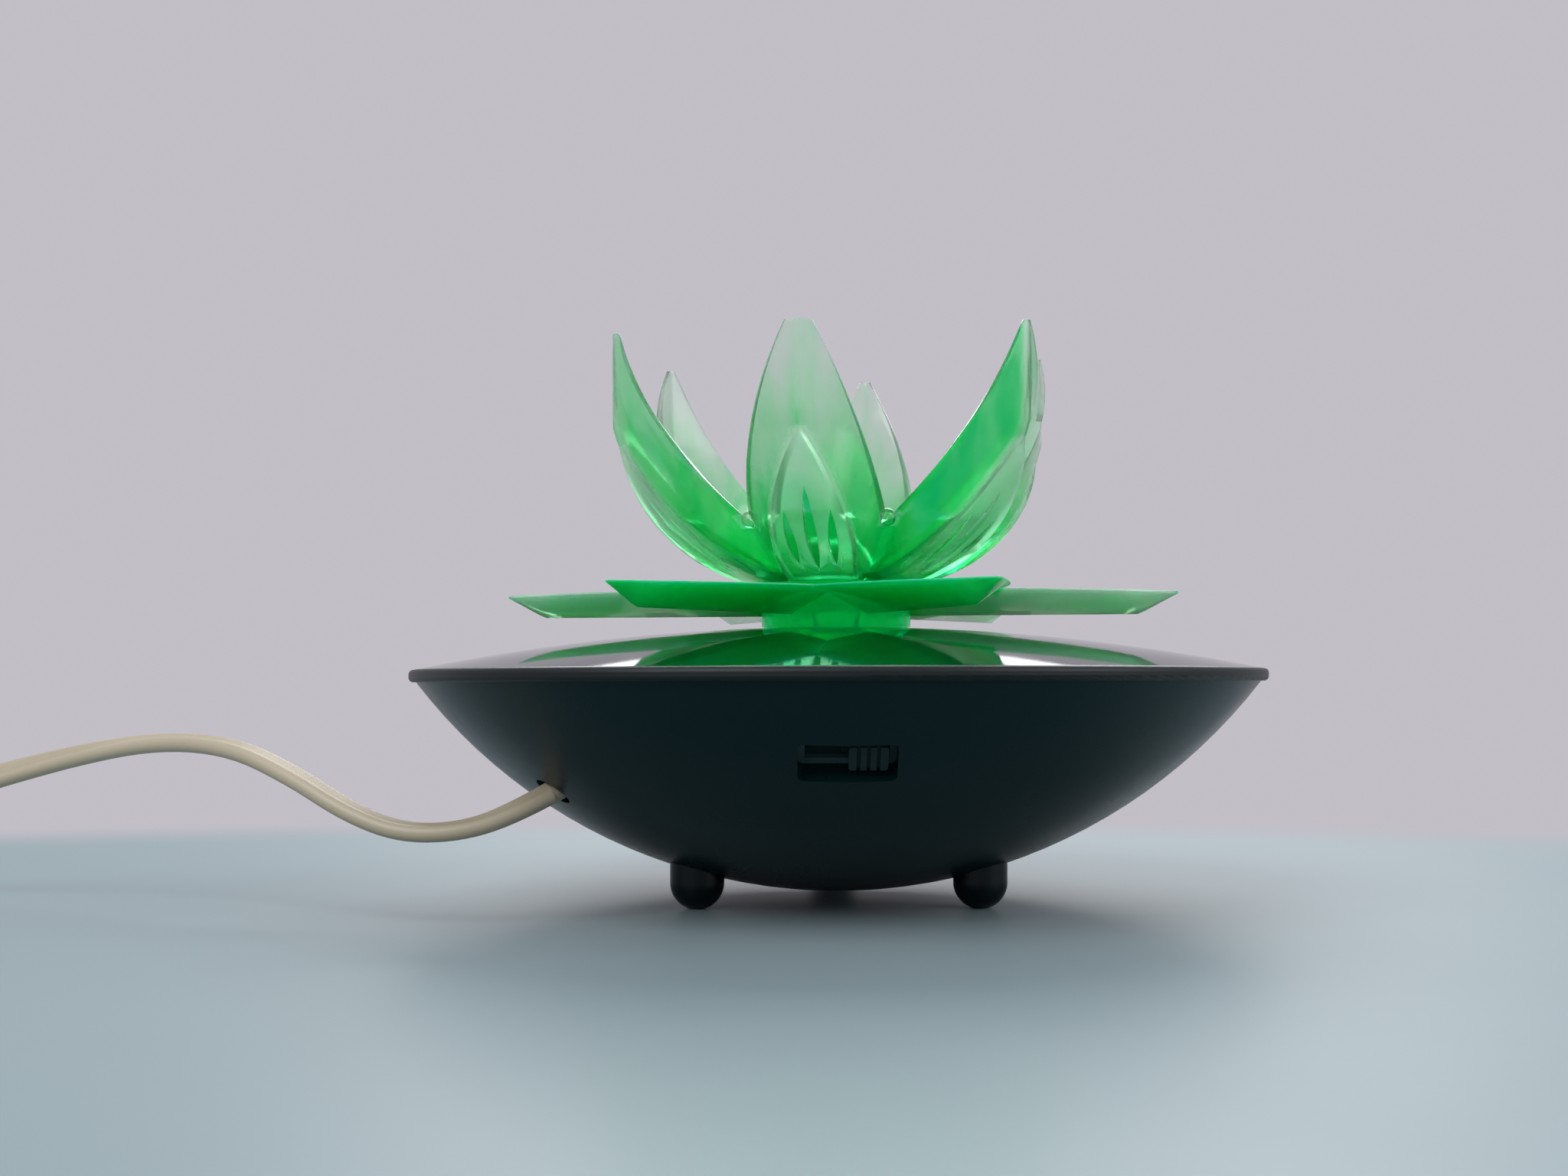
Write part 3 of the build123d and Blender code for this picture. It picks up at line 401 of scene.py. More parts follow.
def face_outward(thing):
    """Keep the mesh that the modifiers make and turn its faces outward."""
    mesh = evaluated_mesh(thing)
    thing.modifiers.clear()
    thing.data = mesh
    work = bmesh.new()
    work.from_mesh(mesh)
    bmesh.ops.recalc_face_normals(work, faces=work.faces)
    work.to_mesh(mesh)
    work.free()


smooth_below = 35
sharp_from = 28


def finish_shape(thing, material):
    """Close a piece's shaping: faces outward, smooth but for its sharp edges, in one material."""
    face_outward(thing)
    thing.data.shade_smooth()
    thing.data.set_sharp_from_angle(angle=radians(smooth_below))
    thing.data.materials.clear()
    thing.data.materials.append(material)


def round_edges(thing, width, segments=2):
    """Break the sharp edges of a piece, as its mould does."""
    bevel = thing.modifiers.new("round_edges", "BEVEL")
    bevel.width = width * mm
    bevel.segments = segments
    bevel.limit_method = "ANGLE"
    bevel.angle_limit = radians(sharp_from)


def cut_or_join(thing, other, operation):
    """Cut another piece out of this one, or weld it on, and remove the other."""
    face_outward(thing)
    face_outward(other)
    tool = thing.modifiers.new(operation.lower(), "BOOLEAN")
    tool.object = other
    tool.operation = operation
    tool.solver = "EXACT"
    face_outward(thing)
    bpy.data.objects.remove(other)


def round_axis_tree():
    """Geometry Nodes tree: copies of a piece turned round the upright axis, welded where they meet."""
    tree = bpy.data.node_groups.new("round_axis", "GeometryNodeTree")
    sockets = (("Piece", "Geometry"), ("Copies", "Int"), ("First Turn", "Float"), ("Weld", "Float"))
    for name, kind in (*sockets, ("Material", "Material")):
        tree.interface.new_socket(name=name, in_out="INPUT", socket_type=f"NodeSocket{kind}")
    tree.interface.new_socket(name="Result", in_out="OUTPUT", socket_type="NodeSocketGeometry")
    given = tree.nodes.new("NodeGroupInput")
    result = tree.nodes.new("NodeGroupOutput")
    points = tree.nodes.new("GeometryNodePoints")
    number = tree.nodes.new("GeometryNodeInputIndex")
    step = tree.nodes.new("ShaderNodeMath")
    step.operation = "DIVIDE"
    step.inputs[0].default_value = 2 * pi
    turn = tree.nodes.new("ShaderNodeMath")
    turn.operation = "MULTIPLY_ADD"
    turned = tree.nodes.new("ShaderNodeCombineXYZ")
    place = tree.nodes.new("GeometryNodeInstanceOnPoints")
    real = tree.nodes.new("GeometryNodeRealizeInstances")
    weld = tree.nodes.new("GeometryNodeMergeByDistance")
    paint = tree.nodes.new("GeometryNodeSetMaterial")
    join = tree.links.new
    join(given.outputs["Copies"], points.inputs["Count"])
    join(given.outputs["Copies"], step.inputs[1])
    join(number.outputs["Index"], turn.inputs[0])
    join(step.outputs["Value"], turn.inputs[1])
    join(given.outputs["First Turn"], turn.inputs[2])
    join(turn.outputs["Value"], turned.inputs["Z"])
    join(points.outputs["Points"], place.inputs["Points"])
    join(given.outputs["Piece"], place.inputs["Instance"])
    join(turned.outputs["Vector"], place.inputs["Rotation"])
    join(place.outputs["Instances"], real.inputs["Geometry"])
    join(real.outputs["Geometry"], weld.inputs["Geometry"])
    join(given.outputs["Weld"], weld.inputs["Distance"])
    join(weld.outputs["Geometry"], paint.inputs["Geometry"])
    join(given.outputs["Material"], paint.inputs["Material"])
    join(paint.outputs["Geometry"], result.inputs["Result"])
    return tree


round_axis = round_axis_tree()


def set_round(thing, first_turn, weld, material):
    """Turn a piece six times round the upright axis from a first turn, and keep the mesh."""
    values = {"Copies": petal_count, "First Turn": first_turn, "Weld": weld * mm, "Material": material}
    maker = thing.modifiers.new("round_axis", "NODES")
    maker.node_group = round_axis
    for item in round_axis.interface.items_tree:
        if item.in_out == "INPUT" and item.name in values:
            maker[item.identifier] = values[item.name]
    face_outward(thing)


def lathe(name, outline, steps):
    """Closed ring turned round the upright axis from an outline of distances and heights."""
    points = []
    faces = []
    count = len(outline)
    for step in range(steps):
        turn = 2 * pi * step / steps
        points += [(reach * cos(turn), reach * sin(turn), height) for reach, height in outline]
        here = step * count
        there = (step + 1) % steps * count
        for index in range(count):
            after = (index + 1) % count
            faces.append((here + index, here + after, there + after, there + index))
    return new_piece(name, points, faces)


def skin(rings):
    """Faces between rows of points of one length, the last row joined to the first."""
    width = len(rings[0])
    faces = []
    for row in range(len(rings)):
        after = (row + 1) % len(rings)
        for column in range(width - 1):
            here = row * width + column
            there = after * width + column
            faces.append((here, here + 1, there + 1, there))
    return faces


def between(start, end, steps):
    """Evenly spaced values from start to just before end."""
    return [start + (end - start) * step / steps for step in range(steps)]


def leaf_row(reach, side):
    """Points across a leaf at a distance from the axis, on its top or its underside."""
    half = reach * tan(sector)
    if reach > leaf_span:
        share = (reach - leaf_span) / (leaf_tip - leaf_span)
        half = leaf_span * tan(sector) * (1 - share) * (1 + leaf_belly * share) + leaf_tip_half * share
    rise = max(0, reach - leaf_keel_end) / (leaf_tip - leaf_keel_end)
    edge = leaf_top - leaf_edge
    keel = leaf_keel + (edge - leaf_tip_keel - leaf_keel) * rise
    crown = min(keel + leaf_plate, leaf_top - leaf_groove)
    rim, middle = (leaf_top, crown) if side == "top" else (edge, keel)
    row = [
        (reach, -half + half * step / leaf_half_steps, rim + (middle - rim) * step / leaf_half_steps)
        for step in range(leaf_half_steps + 1)
    ]
    return row + [(x, -y, z) for x, y, z in reversed(row[:-1])]


leaf_reaches = between(leaf_root, leaf_span, leaf_inner_steps)
leaf_reaches += between(leaf_span, leaf_tip, leaf_outer_steps) + [leaf_tip]
leaf_rows = [leaf_row(reach, "top") for reach in leaf_reaches]
leaf_rows += [leaf_row(reach, "under") for reach in reversed(leaf_reaches)]
leaf_faces = skin(leaf_rows)
leaf_width = len(leaf_rows[0])
last_row = len(leaf_rows) - 1
for row in range(leaf_inner_steps, len(leaf_reaches) - 1):
    for column in (0, leaf_width - 1):
        corners = [row, row + 1, last_row - row - 1, last_row - row]
        leaf_faces.append(tuple(corner * leaf_width + column for corner in corners))
leaf_points = [(x, y, z + land) for row in leaf_rows for x, y, z in row]
leaf_zones = [
    (
        (x - leaf_root) / (leaf_tip - leaf_root),
        leaf_under_frost if index > len(leaf_reaches) else 0,
        0,
    )
    for index, row in enumerate(leaf_rows)
    for x, y, z in row
]
leaves = new_piece("leaf_ring_look", leaf_points, leaf_faces, zones=leaf_zones)


def repaint(thing, rule):
    """Change the zones of each point by a rule, given its distance, angle from the front and height."""
    for vertex, item in zip(thing.data.vertices, thing.data.color_attributes["zones"].data):
        x, y, z = vertex.co / mm
        item.color = (*rule(hypot(x, y), degrees(atan2(x, -y)), z, *item.color[:3]), 1)


streak_scale = 170
streak_length = 0.3
streak_bend = 0.7
edge_on_blend = 0.42
fine_grain = 1800
fine_grain_depth = 0.25
fine_grain_height = 0.04
clear_shine = 0.3
scatter_share = (0.35, 1.0, 0.5)
scatter_reach = 4


def clear_green(
    name, tones, deep, frost, rough, frost_rough, seen_through, cloudiness=0.5, bending=1.45
):
    """Clear green moulding: paler up the zones' first value, frosted by the second, and deeper seen
    edge-on, but for the third."""
    material = bpy.data.materials.new(name)
    material.use_nodes = True
    tree = material.node_tree
    shader = tree.nodes["Principled BSDF"]
    zones = tree.nodes.new("ShaderNodeAttribute")
    zones.attribute_name = "zones"
    split = tree.nodes.new("ShaderNodeSeparateColor")
    ramp = tree.nodes.new("ShaderNodeValToRGB")
    ramp.color_ramp.interpolation = "B_SPLINE"
    for element, tone in zip(ramp.color_ramp.elements, (tones[0], tones[-1])):
        element.color = (*tone, 1)
    for index, tone in enumerate(tones[1:-1]):
        ramp.color_ramp.elements.new((index + 1) / (len(tones) - 1)).color = (*tone, 1)
    tint = tree.nodes.new("ShaderNodeMix")
    tint.data_type = "RGBA"
    tint.inputs["B"].default_value = (*frost, 1)
    edge_on = tree.nodes.new("ShaderNodeLayerWeight")
    edge_on.inputs["Blend"].default_value = edge_on_blend
    deepened = tree.nodes.new("ShaderNodeMath")
    deepened.operation = "SUBTRACT"
    deepened.inputs[0].default_value = 1
    edge_depth = tree.nodes.new("ShaderNodeMath")
    edge_depth.operation = "MULTIPLY"
    depth = tree.nodes.new("ShaderNodeMix")
    depth.data_type = "RGBA"
    depth.inputs["B"].default_value = (*deep, 1)
    stretched = tree.nodes.new("ShaderNodeMapping")
    stretched.inputs["Scale"].default_value = (1, 1, streak_length)
    streaks = tree.nodes.new("ShaderNodeTexNoise")
    streaks.inputs["Scale"].default_value = streak_scale
    streaks.inputs["Distortion"].default_value = streak_bend
    clouded = tree.nodes.new("ShaderNodeMath")
    clouded.operation = "MULTIPLY_ADD"
    clouded.inputs[1].default_value = cloudiness
    shifted = tree.nodes.new("ShaderNodeMath")
    shifted.operation = "SUBTRACT"
    shifted.inputs[1].default_value = cloudiness / 2
    surface = tree.nodes.new("ShaderNodeGroup")
    surface.node_tree = surface_group
    surface.inputs["Grain"].default_value = fine_grain
    surface.inputs["Depth"].default_value = fine_grain_depth
    place = tree.nodes.new("ShaderNodeTexCoord")
    gloss = tree.nodes.new("ShaderNodeMapRange")
    gloss.inputs["To Min"].default_value = rough
    gloss.inputs["To Max"].default_value = frost_rough
    bump = tree.nodes.new("ShaderNodeBump")
    bump.inputs["Distance"].default_value = fine_grain_height * mm
    join = tree.links.new
    join(zones.outputs["Color"], split.inputs["Color"])
    join(place.outputs["Object"], stretched.inputs["Vector"])
    join(stretched.outputs["Vector"], streaks.inputs["Vector"])
    join(streaks.outputs["Fac"], clouded.inputs[0])
    join(split.outputs["Red"], clouded.inputs[2])
    join(clouded.outputs["Value"], shifted.inputs[0])
    join(shifted.outputs["Value"], ramp.inputs["Fac"])
    join(ramp.outputs["Color"], depth.inputs["A"])
    join(split.outputs["Blue"], deepened.inputs[1])
    join(edge_on.outputs["Facing"], edge_depth.inputs[0])
    join(deepened.outputs["Value"], edge_depth.inputs[1])
    join(edge_depth.outputs["Value"], depth.inputs["Factor"])
    join(depth.outputs["Result"], tint.inputs["A"])
    join(split.outputs["Green"], tint.inputs["Factor"])
    join(tint.outputs["Result"], shader.inputs["Base Color"])
    join(split.outputs["Green"], gloss.inputs["Value"])
    join(gloss.outputs["Result"], shader.inputs["Roughness"])
    join(place.outputs["Object"], surface.inputs["Place"])
    join(surface.outputs["Height"], bump.inputs["Height"])
    join(bump.outputs["Normal"], shader.inputs["Normal"])
    shader.inputs["Transmission Weight"].default_value = seen_through
    shader.inputs["IOR"].default_value = bending
    shader.inputs["Specular IOR Level"].default_value = clear_shine
    shader.inputs["Subsurface Weight"].default_value = 1.0
    shader.inputs["Subsurface Radius"].default_value = scatter_share
    shader.inputs["Subsurface Scale"].default_value = scatter_reach * mm
    return material


leaf_acrylic = clear_green(
    "leaf_acrylic",
    ((0.0, 0.80, 0.25), (0.0, 0.80, 0.25), (0.32, 0.94, 0.48), (0.85, 1.0, 0.82)),
    deep=(0.0, 0.76, 0.24),
    frost=(0.0, 0.84, 0.28),
    rough=0.10,
    frost_rough=0.18,
    seen_through=0.5,
)
set_round(leaves, radians(leaf_first - 90), leaf_weld, leaf_acrylic)


def sixth(angle, first):
    """Which leaf or petal an angle falls on, and how far in degrees it lies from that one's keel."""
    width = 360 / petal_count
    number, within = divmod((angle - first + width / 2) % 360, width)
    return int(number), within - width / 2


def leaf_tone(reach, angle, height, share, frost, clear):
    """Zones of a leaf: paler towards the tip, and those at the sides painted paler still as painted
    light, above all underneath.
    """
    paleness = leaf_painted_paleness[sixth(angle, leaf_first)[0]]
    if not frost:
        paleness *= leaf_top_painted_paleness
    return share * leaf_paling + paleness, frost * (1 - paleness), paleness


repaint(leaves, leaf_tone)
round_edges(leaves, leaf_round)
collar_outline = [
    (spigot_bore, -spigot_length),
    (spigot_radius, -spigot_length),
    (spigot_radius, 0),
    (collar_radius - collar_relief, 0),
    (collar_radius - collar_relief, collar_relief),
    (collar_radius, collar_relief),
    (collar_radius, collar_height),
    (collar_bore, collar_height),
    (collar_bore, 0),
    (spigot_bore, 0),
]
collar = lathe("collar", [(reach, height + land) for reach, height in collar_outline], collar_steps)
cut_or_join(leaves, collar, "UNION")
finish_shape(leaves, leaf_acrylic)
collar_acrylic = clear_green(
    "collar_acrylic",
    ((0.0, 0.98, 0.30), (0.0, 0.98, 0.30)),
    deep=(0.10, 1.0, 0.40),
    frost=(0.0, 0.95, 0.30),
    rough=0.10,
    frost_rough=0.18,
    seen_through=0.7,
    bending=1.12,
)
# The leaves gather light and pipe it down into the collar; a faint green emission stands in for that
# light as a painted glow.
collar_painted_glow = 0.05
collar_shader = collar_acrylic.node_tree.nodes["Principled BSDF"]
collar_shader.inputs["Emission Color"].default_value = (0.0, 0.95, 0.22, 1)
collar_shader.inputs["Emission Strength"].default_value = collar_painted_glow
leaves.data.materials.append(collar_acrylic)
for face in leaves.data.polygons:
    x, y, z = face.center / mm
    if hypot(x, y) < collar_radius + leaf_round and abs(face.normal.z) < collar_upright:
        face.material_index = 1
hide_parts("leaf_ring")
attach(leaves, "leaves")

# Corolla: one injection-moulded cup of clear green acrylic with six upright petals, plugged in the
# collar. Each petal is a thin channel: a frosted arch low on its keel, three grooves, a paling tip.
petal_first = -10.0
corolla_height = 46.8
keel_arc = 41.5
keel_centre = 5.3
keel_centre_height = 40.1
petal_reach = 45.3
cup_height = 10.8
valley_base = 14.8
valley_top = 25.8
petal_root_wall = 2.4
petal_tip_wall = 0.7
edge_flare = 2.05
edge_fullness = 1.65
cup_floor = 2.2
cup_draft = 0.9
facet_width = 7.6
facet_base = 6.6
facet_start = 3.8
facet_end = 25.8
facet_least = 0.4
facet_fullness = 1.9
tip_half_width = 1.1
tip_depth = 0.5
corolla_bore = 11.2
corolla_spigot = 5.0
spigot_play = 0.3
seat_lift = 0.05
petal_round = 0.15
petal_weld = 0.02
cup_steps = 8
petal_steps = 40
flank_steps = 5
facet_steps = 6
arch_frost_rise = 8
arch_share = 0.75
# Painted light: the petals' flanks facing the front are painted deeper, and those at the back paler and
# clearer edge-on.
flank_blend = 1.5
painted_clear_edges = 3
flank_painted_depth = ((-0.2, -0.1), (0.78, 0.1), (-0.3, -0.3), (-0.3, -0.3), (-0.3, -0.3), (-0.1, 0.25))


def keel_reach(height):
    """Distance of a petal's keel from the axis: an arc, then upright."""
    below = max(keel_centre_height - height, 0)
    return min(keel_centre + sqrt(keel_arc**2 - below**2), petal_reach)


def valley_reach(height):
    """Distance from the axis of the valley between two petals, within the cup."""
    return valley_base + (valley_top - valley_base) * min(height / cup_height, 1)


def facet_half_width(height):
    """Half of the flat arch on the keel, which closes where the petal's ridge begins."""
    if height < facet_start:
        return facet_base + (facet_width - facet_base) * height / facet_start
    share = min((height - facet_start) / (facet_end - facet_start), 1)
    return max(facet_width * (1 - share**facet_fullness), facet_least)


def across(edge, keel, height, zone):
    """Points and zones across one petal: flank, arch on the keel, flank."""
    (edge_x, edge_y), (keel_x, keel_y) = edge, keel
    half = [
        (
            edge_x + (keel_x - edge_x) * step / flank_steps,
            -edge_y + (edge_y - keel_y) * step / flank_steps,
        )
        for step in range(flank_steps)
    ]
    flat = [(keel_x, -keel_y + 2 * keel_y * step / facet_steps) for step in range(facet_steps + 1)]
    row = half + flat + [(x, -y) for x, y in reversed(half)]
    arch = range(flank_steps, flank_steps + facet_steps + 1)
    share = max(height, 0) / corolla_height
    colours = [(share, zone if column in arch else 0, 0) for column in range(len(row))]
    return [(x, y, height) for x, y in row], colours


def circle_row(reach, height):
    """Points on a round part below the cup, set out like those across a petal."""
    corner = (reach * cos(sector), reach * sin(sector))
    arch = (reach * cos(arch_share * sector), reach * sin(arch_share * sector))
    row, colours = across(corner, arch, height, 0)
    return [(x * reach / hypot(x, y), y * reach / hypot(x, y), z) for x, y, z in row], colours


def arch_frost(height):
    """How frosted the arch is: full at its middle, less at its foot and its point."""
    if height > facet_end:
        return 0
    return min(1, height / arch_frost_rise)


def cup_row(height, outline_height, inset):
    """Points across one lobe of the cup, drawn in by an inset."""
    valley = valley_reach(outline_height) - inset
    edge = (valley * cos(sector), valley * sin(sector))
    keel = (keel_reach(outline_height) - inset, facet_half_width(outline_height) - inset)
    return across(edge, keel, height, 0 if inset else arch_frost(height))


def petal_row(height, inside):
    """Points across a petal above the cup, on its outer or its inner face."""
    share = (height - cup_height) / (corolla_height - cup_height)
    keel = keel_reach(height)
    half = facet_half_width(height)
    low = valley_top * cos(sector)
    wide = valley_top * sin(sector)
    edge = low + (petal_reach - tip_depth - low) * (1 - (1 - share) ** edge_flare)
    width = wide + (tip_half_width - wide) * share**edge_fullness
    if not inside:
        return across((edge, width), (keel, half), height, arch_frost(height))
    wall = petal_root_wall + (petal_tip_wall - petal_root_wall) * share
    depth = keel - edge
    spread = width - half
    slant = hypot(depth, spread)
    inner_half = half - wall * depth / slant + wall * (slant - spread) * spread / (depth * slant)
    inner_depth = wall
    if inner_half < facet_least / 2:
        along = (facet_least / 2 - half + wall * depth / slant) * slant / spread
        inner_half = facet_least / 2
        inner_depth = wall * spread / slant + along * depth / slant
    inner_edge = (edge - wall * spread / slant, width - wall * depth / slant)
    return across(inner_edge, (keel - inner_depth, inner_half), height, 0)


plug_radius = collar_bore - spigot_play
cup_heights = between(0, cup_height, cup_steps)
petal_heights = between(cup_height, corolla_height, petal_steps)[1:] + [corolla_height]
rows = [circle_row(corolla_bore, -corolla_spigot), circle_row(plug_radius, -corolla_spigot)]
rows += [circle_row(plug_radius, seat_lift)]
rows += [cup_row(max(height, seat_lift), height, 0) for height in cup_heights]
outer_first = len(rows)
rows += [cup_row(cup_height, cup_height, 0)]
rows += [petal_row(height, False) for height in petal_heights]
rows += [petal_row(height, True) for height in reversed(petal_heights)]
rows += [cup_row(cup_height, cup_height - cup_floor, cup_draft)]
inner_first = len(rows) - 1
inner_heights = between(cup_floor, cup_height, cup_steps)
rows += [cup_row(height, height - cup_floor, cup_draft) for height in reversed(inner_heights)]
rows += [circle_row(corolla_bore, cup_floor)]
petal_points = [(x, y, z + seat) for row, colours in rows for x, y, z in row]
petal_zones = [colour for row, colours in rows for colour in colours]
petal_faces = skin([row for row, colours in rows])
petal_width = len(rows[0][0])
for step in range(len(petal_heights)):
    outer = outer_first + step
    inner = inner_first - step
    for column in (0, petal_width - 1):
        corners = [outer, outer + 1, inner - 1, inner]
        petal_faces.append(tuple(corner * petal_width + column for corner in corners))
corolla = new_piece("corolla_look", petal_points, petal_faces, zones=petal_zones)
petal_acrylic = clear_green(
    "petal_acrylic",
    ((0.0, 0.74, 0.20), (0.06, 0.84, 0.27), (0.46, 0.92, 0.56), (0.60, 0.94, 0.67), (0.82, 0.91, 0.83)),
    deep=(0.0, 0.62, 0.16),
    frost=(0.72, 0.98, 0.78),
    rough=0.12,
    frost_rough=0.4,
    seen_through=0.85,
    cloudiness=0.9,
)
petal_turn = radians(petal_first - 90)
set_round(corolla, petal_turn, petal_weld, petal_acrylic)


def petal_tone(reach, angle, height, share, frost, clear):
    """Zones of a petal, with painted light: a flank that faces the front is painted deeper, as if seen
    through its fellow, and the flanks of the petals at the back are painted paler.
    """
    number, turned = sixth(angle, petal_first)
    sideways = reach * sin(radians(turned))
    flank = min(1, max(0, abs(sideways) - facet_half_width(height - seat)) / flank_blend)
    depth = flank_painted_depth[number][0 if sideways < 0 else 1]
    return share * (1 - depth * flank), frost, max(0, -depth) * painted_clear_edges * share


repaint(corolla, petal_tone)
round_edges(corolla, petal_round)

# Grooves: three pointed slots low in each petal's arch, the outer two shorter and leaning outward.
# They are moulded into the wall from outside, and the front petal's tip is cut short.
groove_width = 2.2
side_groove_width = 1.8
groove_low = 1.6
groove_high = 15.8
side_groove_low = 2.4
side_groove_high = 11.6
side_groove_place = 3.9
side_groove_lean = 0.8
groove_cut = 3.0
groove_depth = 0.3
groove_steps = 9
groove_skin = 0.12
groove_look_depth = 2.0
# Painted shade: how much of the petal's paling the grooves' insides keep, so that they show a deeper
# green.
groove_painted_shade = 0.3
groove_weld = 0.001
front_cut = 2.6
tip_block_half = 9
tip_block_height = 10


def groove_cutter(low, high, width, place, lean):
    """Pointed prism square to the keel between two heights, as points and faces."""
    foot = Vector((keel_reach(low), 0, low + seat))
    head = Vector((keel_reach(high), 0, high + seat))
    rise = head - foot
    out = Vector((0, 1, 0)).cross(rise).normalized()
    outline = []
    for side in (1, -1):
        for step in range(groove_steps):
            share = step / groove_steps if side > 0 else 1 - step / groove_steps
            bulge = side * width / 2 * (1 - (2 * share - 1) ** 2)
            outline.append((place + bulge + lean * (share - 0.5), share))
    points = [
        foot + rise * share + Vector((0, aside, 0)) + out * depth
        for depth in (-groove_depth, groove_cut)
        for aside, share in outline
    ]
    count = len(outline)
    faces = [tuple(reversed(range(count))), tuple(range(count, 2 * count))]
    for index in range(count):
        after = (index + 1) % count
        faces.append((index, after, after + count, index + count))
    return points, faces


cutter_points = []
cutter_faces = []
for low, high, width, place, lean in (
    (groove_low, groove_high, groove_width, 0, 0),
    (side_groove_low, side_groove_high, side_groove_width, side_groove_place, side_groove_lean),
    (side_groove_low, side_groove_high, side_groove_width, -side_groove_place, -side_groove_lean),
):
    points, faces = groove_cutter(low, high, width, place, lean)
    start = len(cutter_points)
    cutter_points += points
    cutter_faces += [tuple(corner + start for corner in face) for face in faces]
cutters = new_piece("groove_cutters", cutter_points, cutter_faces)
set_round(cutters, petal_turn, groove_weld, petal_acrylic)
cut_or_join(corolla, cutters, "DIFFERENCE")


def groove_tone(reach, angle, height, share, frost, clear):
    """Zones inside the grooves, which are clear and painted a deeper green as painted shade."""
    aside = radians(sixth(angle, petal_first)[1])
    rise = height - seat
    below = keel_reach(max(rise, 0)) - reach * cos(aside)
    inside = groove_low < rise < groove_high and groove_skin < below < groove_look_depth
    in_arch = abs(reach * sin(aside)) < side_groove_place + side_groove_width
    return (share * groove_painted_shade, 0, 0) if inside and in_arch else (share, frost, clear)


repaint(corolla, groove_tone)
front_turn = radians(petal_first)
tip_x = petal_reach * sin(front_turn)
tip_y = -petal_reach * cos(front_turn)
tip_z = seat + corolla_height - front_cut
square = ((-1, -1), (1, -1), (1, 1), (-1, 1))
tip_block = [
    (tip_x + x * tip_block_half, tip_y + y * tip_block_half, tip_z + z)
    for z in (0, tip_block_height)
    for x, y in square
]
block_faces = [(3, 2, 1, 0), (4, 5, 6, 7), (0, 1, 5, 4), (1, 2, 6, 5), (2, 3, 7, 6), (3, 0, 4, 7)]
cut_or_join(corolla, new_piece("tip_cutter", tip_block, block_faces), "DIFFERENCE")

# Lumps: small round beads of the same acrylic left in the valleys between the petals, where the
# moulding's halves meet. They are one with the corolla.
lump_radius = 1.7
lump_stand = 0.4
lump_paling = 0.12
lump_weld = 0.001
lump_steps = 16
lump_heights = range(-75, 90, 15)
lump_centre = seat + cup_height + lump_stand
lump_points = []
for turn in lump_heights:
    reach = lump_radius * cos(radians(turn))
    height = lump_centre + lump_radius * sin(radians(turn))
    for step in range(lump_steps):
        along = 2 * pi * step / lump_steps
        lump_points.append((valley_top + reach * cos(along), reach * sin(along), height))
last_ring = (len(lump_heights) - 1) * lump_steps
lump_faces = [tuple(reversed(range(lump_steps)))]
lump_faces.append(tuple(last_ring + step for step in range(lump_steps)))
for ring_first in range(0, last_ring, lump_steps):
    for step in range(lump_steps):
        here = ring_first + step
        beside = ring_first + (step + 1) % lump_steps
        lump_faces.append((here, beside, beside + lump_steps, here + lump_steps))
lumps = new_piece("lumps", lump_points, lump_faces, zones=[(lump_paling, 0, 0)] * len(lump_points))
set_round(lumps, petal_turn + sector, lump_weld, petal_acrylic)
cut_or_join(corolla, lumps, "UNION")
finish_shape(corolla, petal_acrylic)
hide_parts("corolla")
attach(corolla, "flower")

# Bulb: a small clear tubular bulb, blown glass on a plated screw cap with a dark glass insulator. Its
# stem carries one bent filament, and the cap turns in the lampholder.
clear_glass = moulded(
    "bulb_glass",
    (0.9, 0.95, 0.92),
    (1, 1, 1),
    (0.02, 0.05),
    Transmission_Weight=1.0,
    IOR=1.5,
)
dress(clear_glass, "bulb_glass", "bulb_stem")
black_glass = moulded("insulator_black", (0.01, 0.01, 0.01), (0.02, 0.02, 0.02), (0.1, 0.2))
dress(black_glass, "bulb_insulator")
steel = moulded("plain_steel", (0.35, 0.35, 0.36), (0.5, 0.5, 0.52), (0.25, 0.4), Metallic=1.0)
dress(steel, "bulb_filament")
dress(brass, "bulb_cap")

# Lampholder and cord clamp: insulators moulded in cream thermoset, the holder with a pressed brass
# shell, centre contact and tab. The clamp holds the cord inside its hole.
cream = moulded("holder_cream", (0.55, 0.50, 0.40), (0.65, 0.61, 0.50), (0.35, 0.5))
dress(cream, "lampholder", "cord_clamp")
dress(brass, "holder_shell", "holder_contact", "holder_tab")

# Strip and screws: a punched steel strip lies across two bosses and carries the lampholder. Plain
# steel screws hold it, the clamp, the switch and, from below, the lid.
dress(steel, "holder_bracket", "holder_screw", "bracket_screws")
dress(steel, "clamp_screws", "switch_screws", "lid_screws")

# Switch: a slide switch behind the slot, matte black, whose ribbed knob runs in a dark steel plate.
# The plate is screwed to the inside of the bowl, and brass tabs take the wires.
# Painted light: the slider and the plate are coloured lighter than the black they are, to lift the
# shade in the slot.
switch_lightened_black = moulded(
    "switch_lightened_black",
    (0.011, 0.026, 0.028),
    (0.014, 0.031, 0.033),
    (0.5, 0.65),
    Specular_IOR_Level=0.12,
)
dress(switch_lightened_black, "switch_slider")
plate_lightened_black = moulded(
    "switch_plate_lightened_black",
    (0.03, 0.07, 0.075),
    (0.04, 0.085, 0.09),
    (0.4, 0.55),
    Specular_IOR_Level=0.4,
)
dress(plate_lightened_black, "switch_plate", "switch_body")
dress(brass, "switch_tabs")

# Inner wires: three thin single cores in dark vinyl, from the clamp and the switch to the lampholder.
# They are soldered at their ends.
wire_vinyl = moulded("wire_vinyl", (0.02, 0.02, 0.022), (0.04, 0.04, 0.042), (0.35, 0.5))
dress(wire_vinyl, "wire_neutral", "wire_live", "wire_switched")

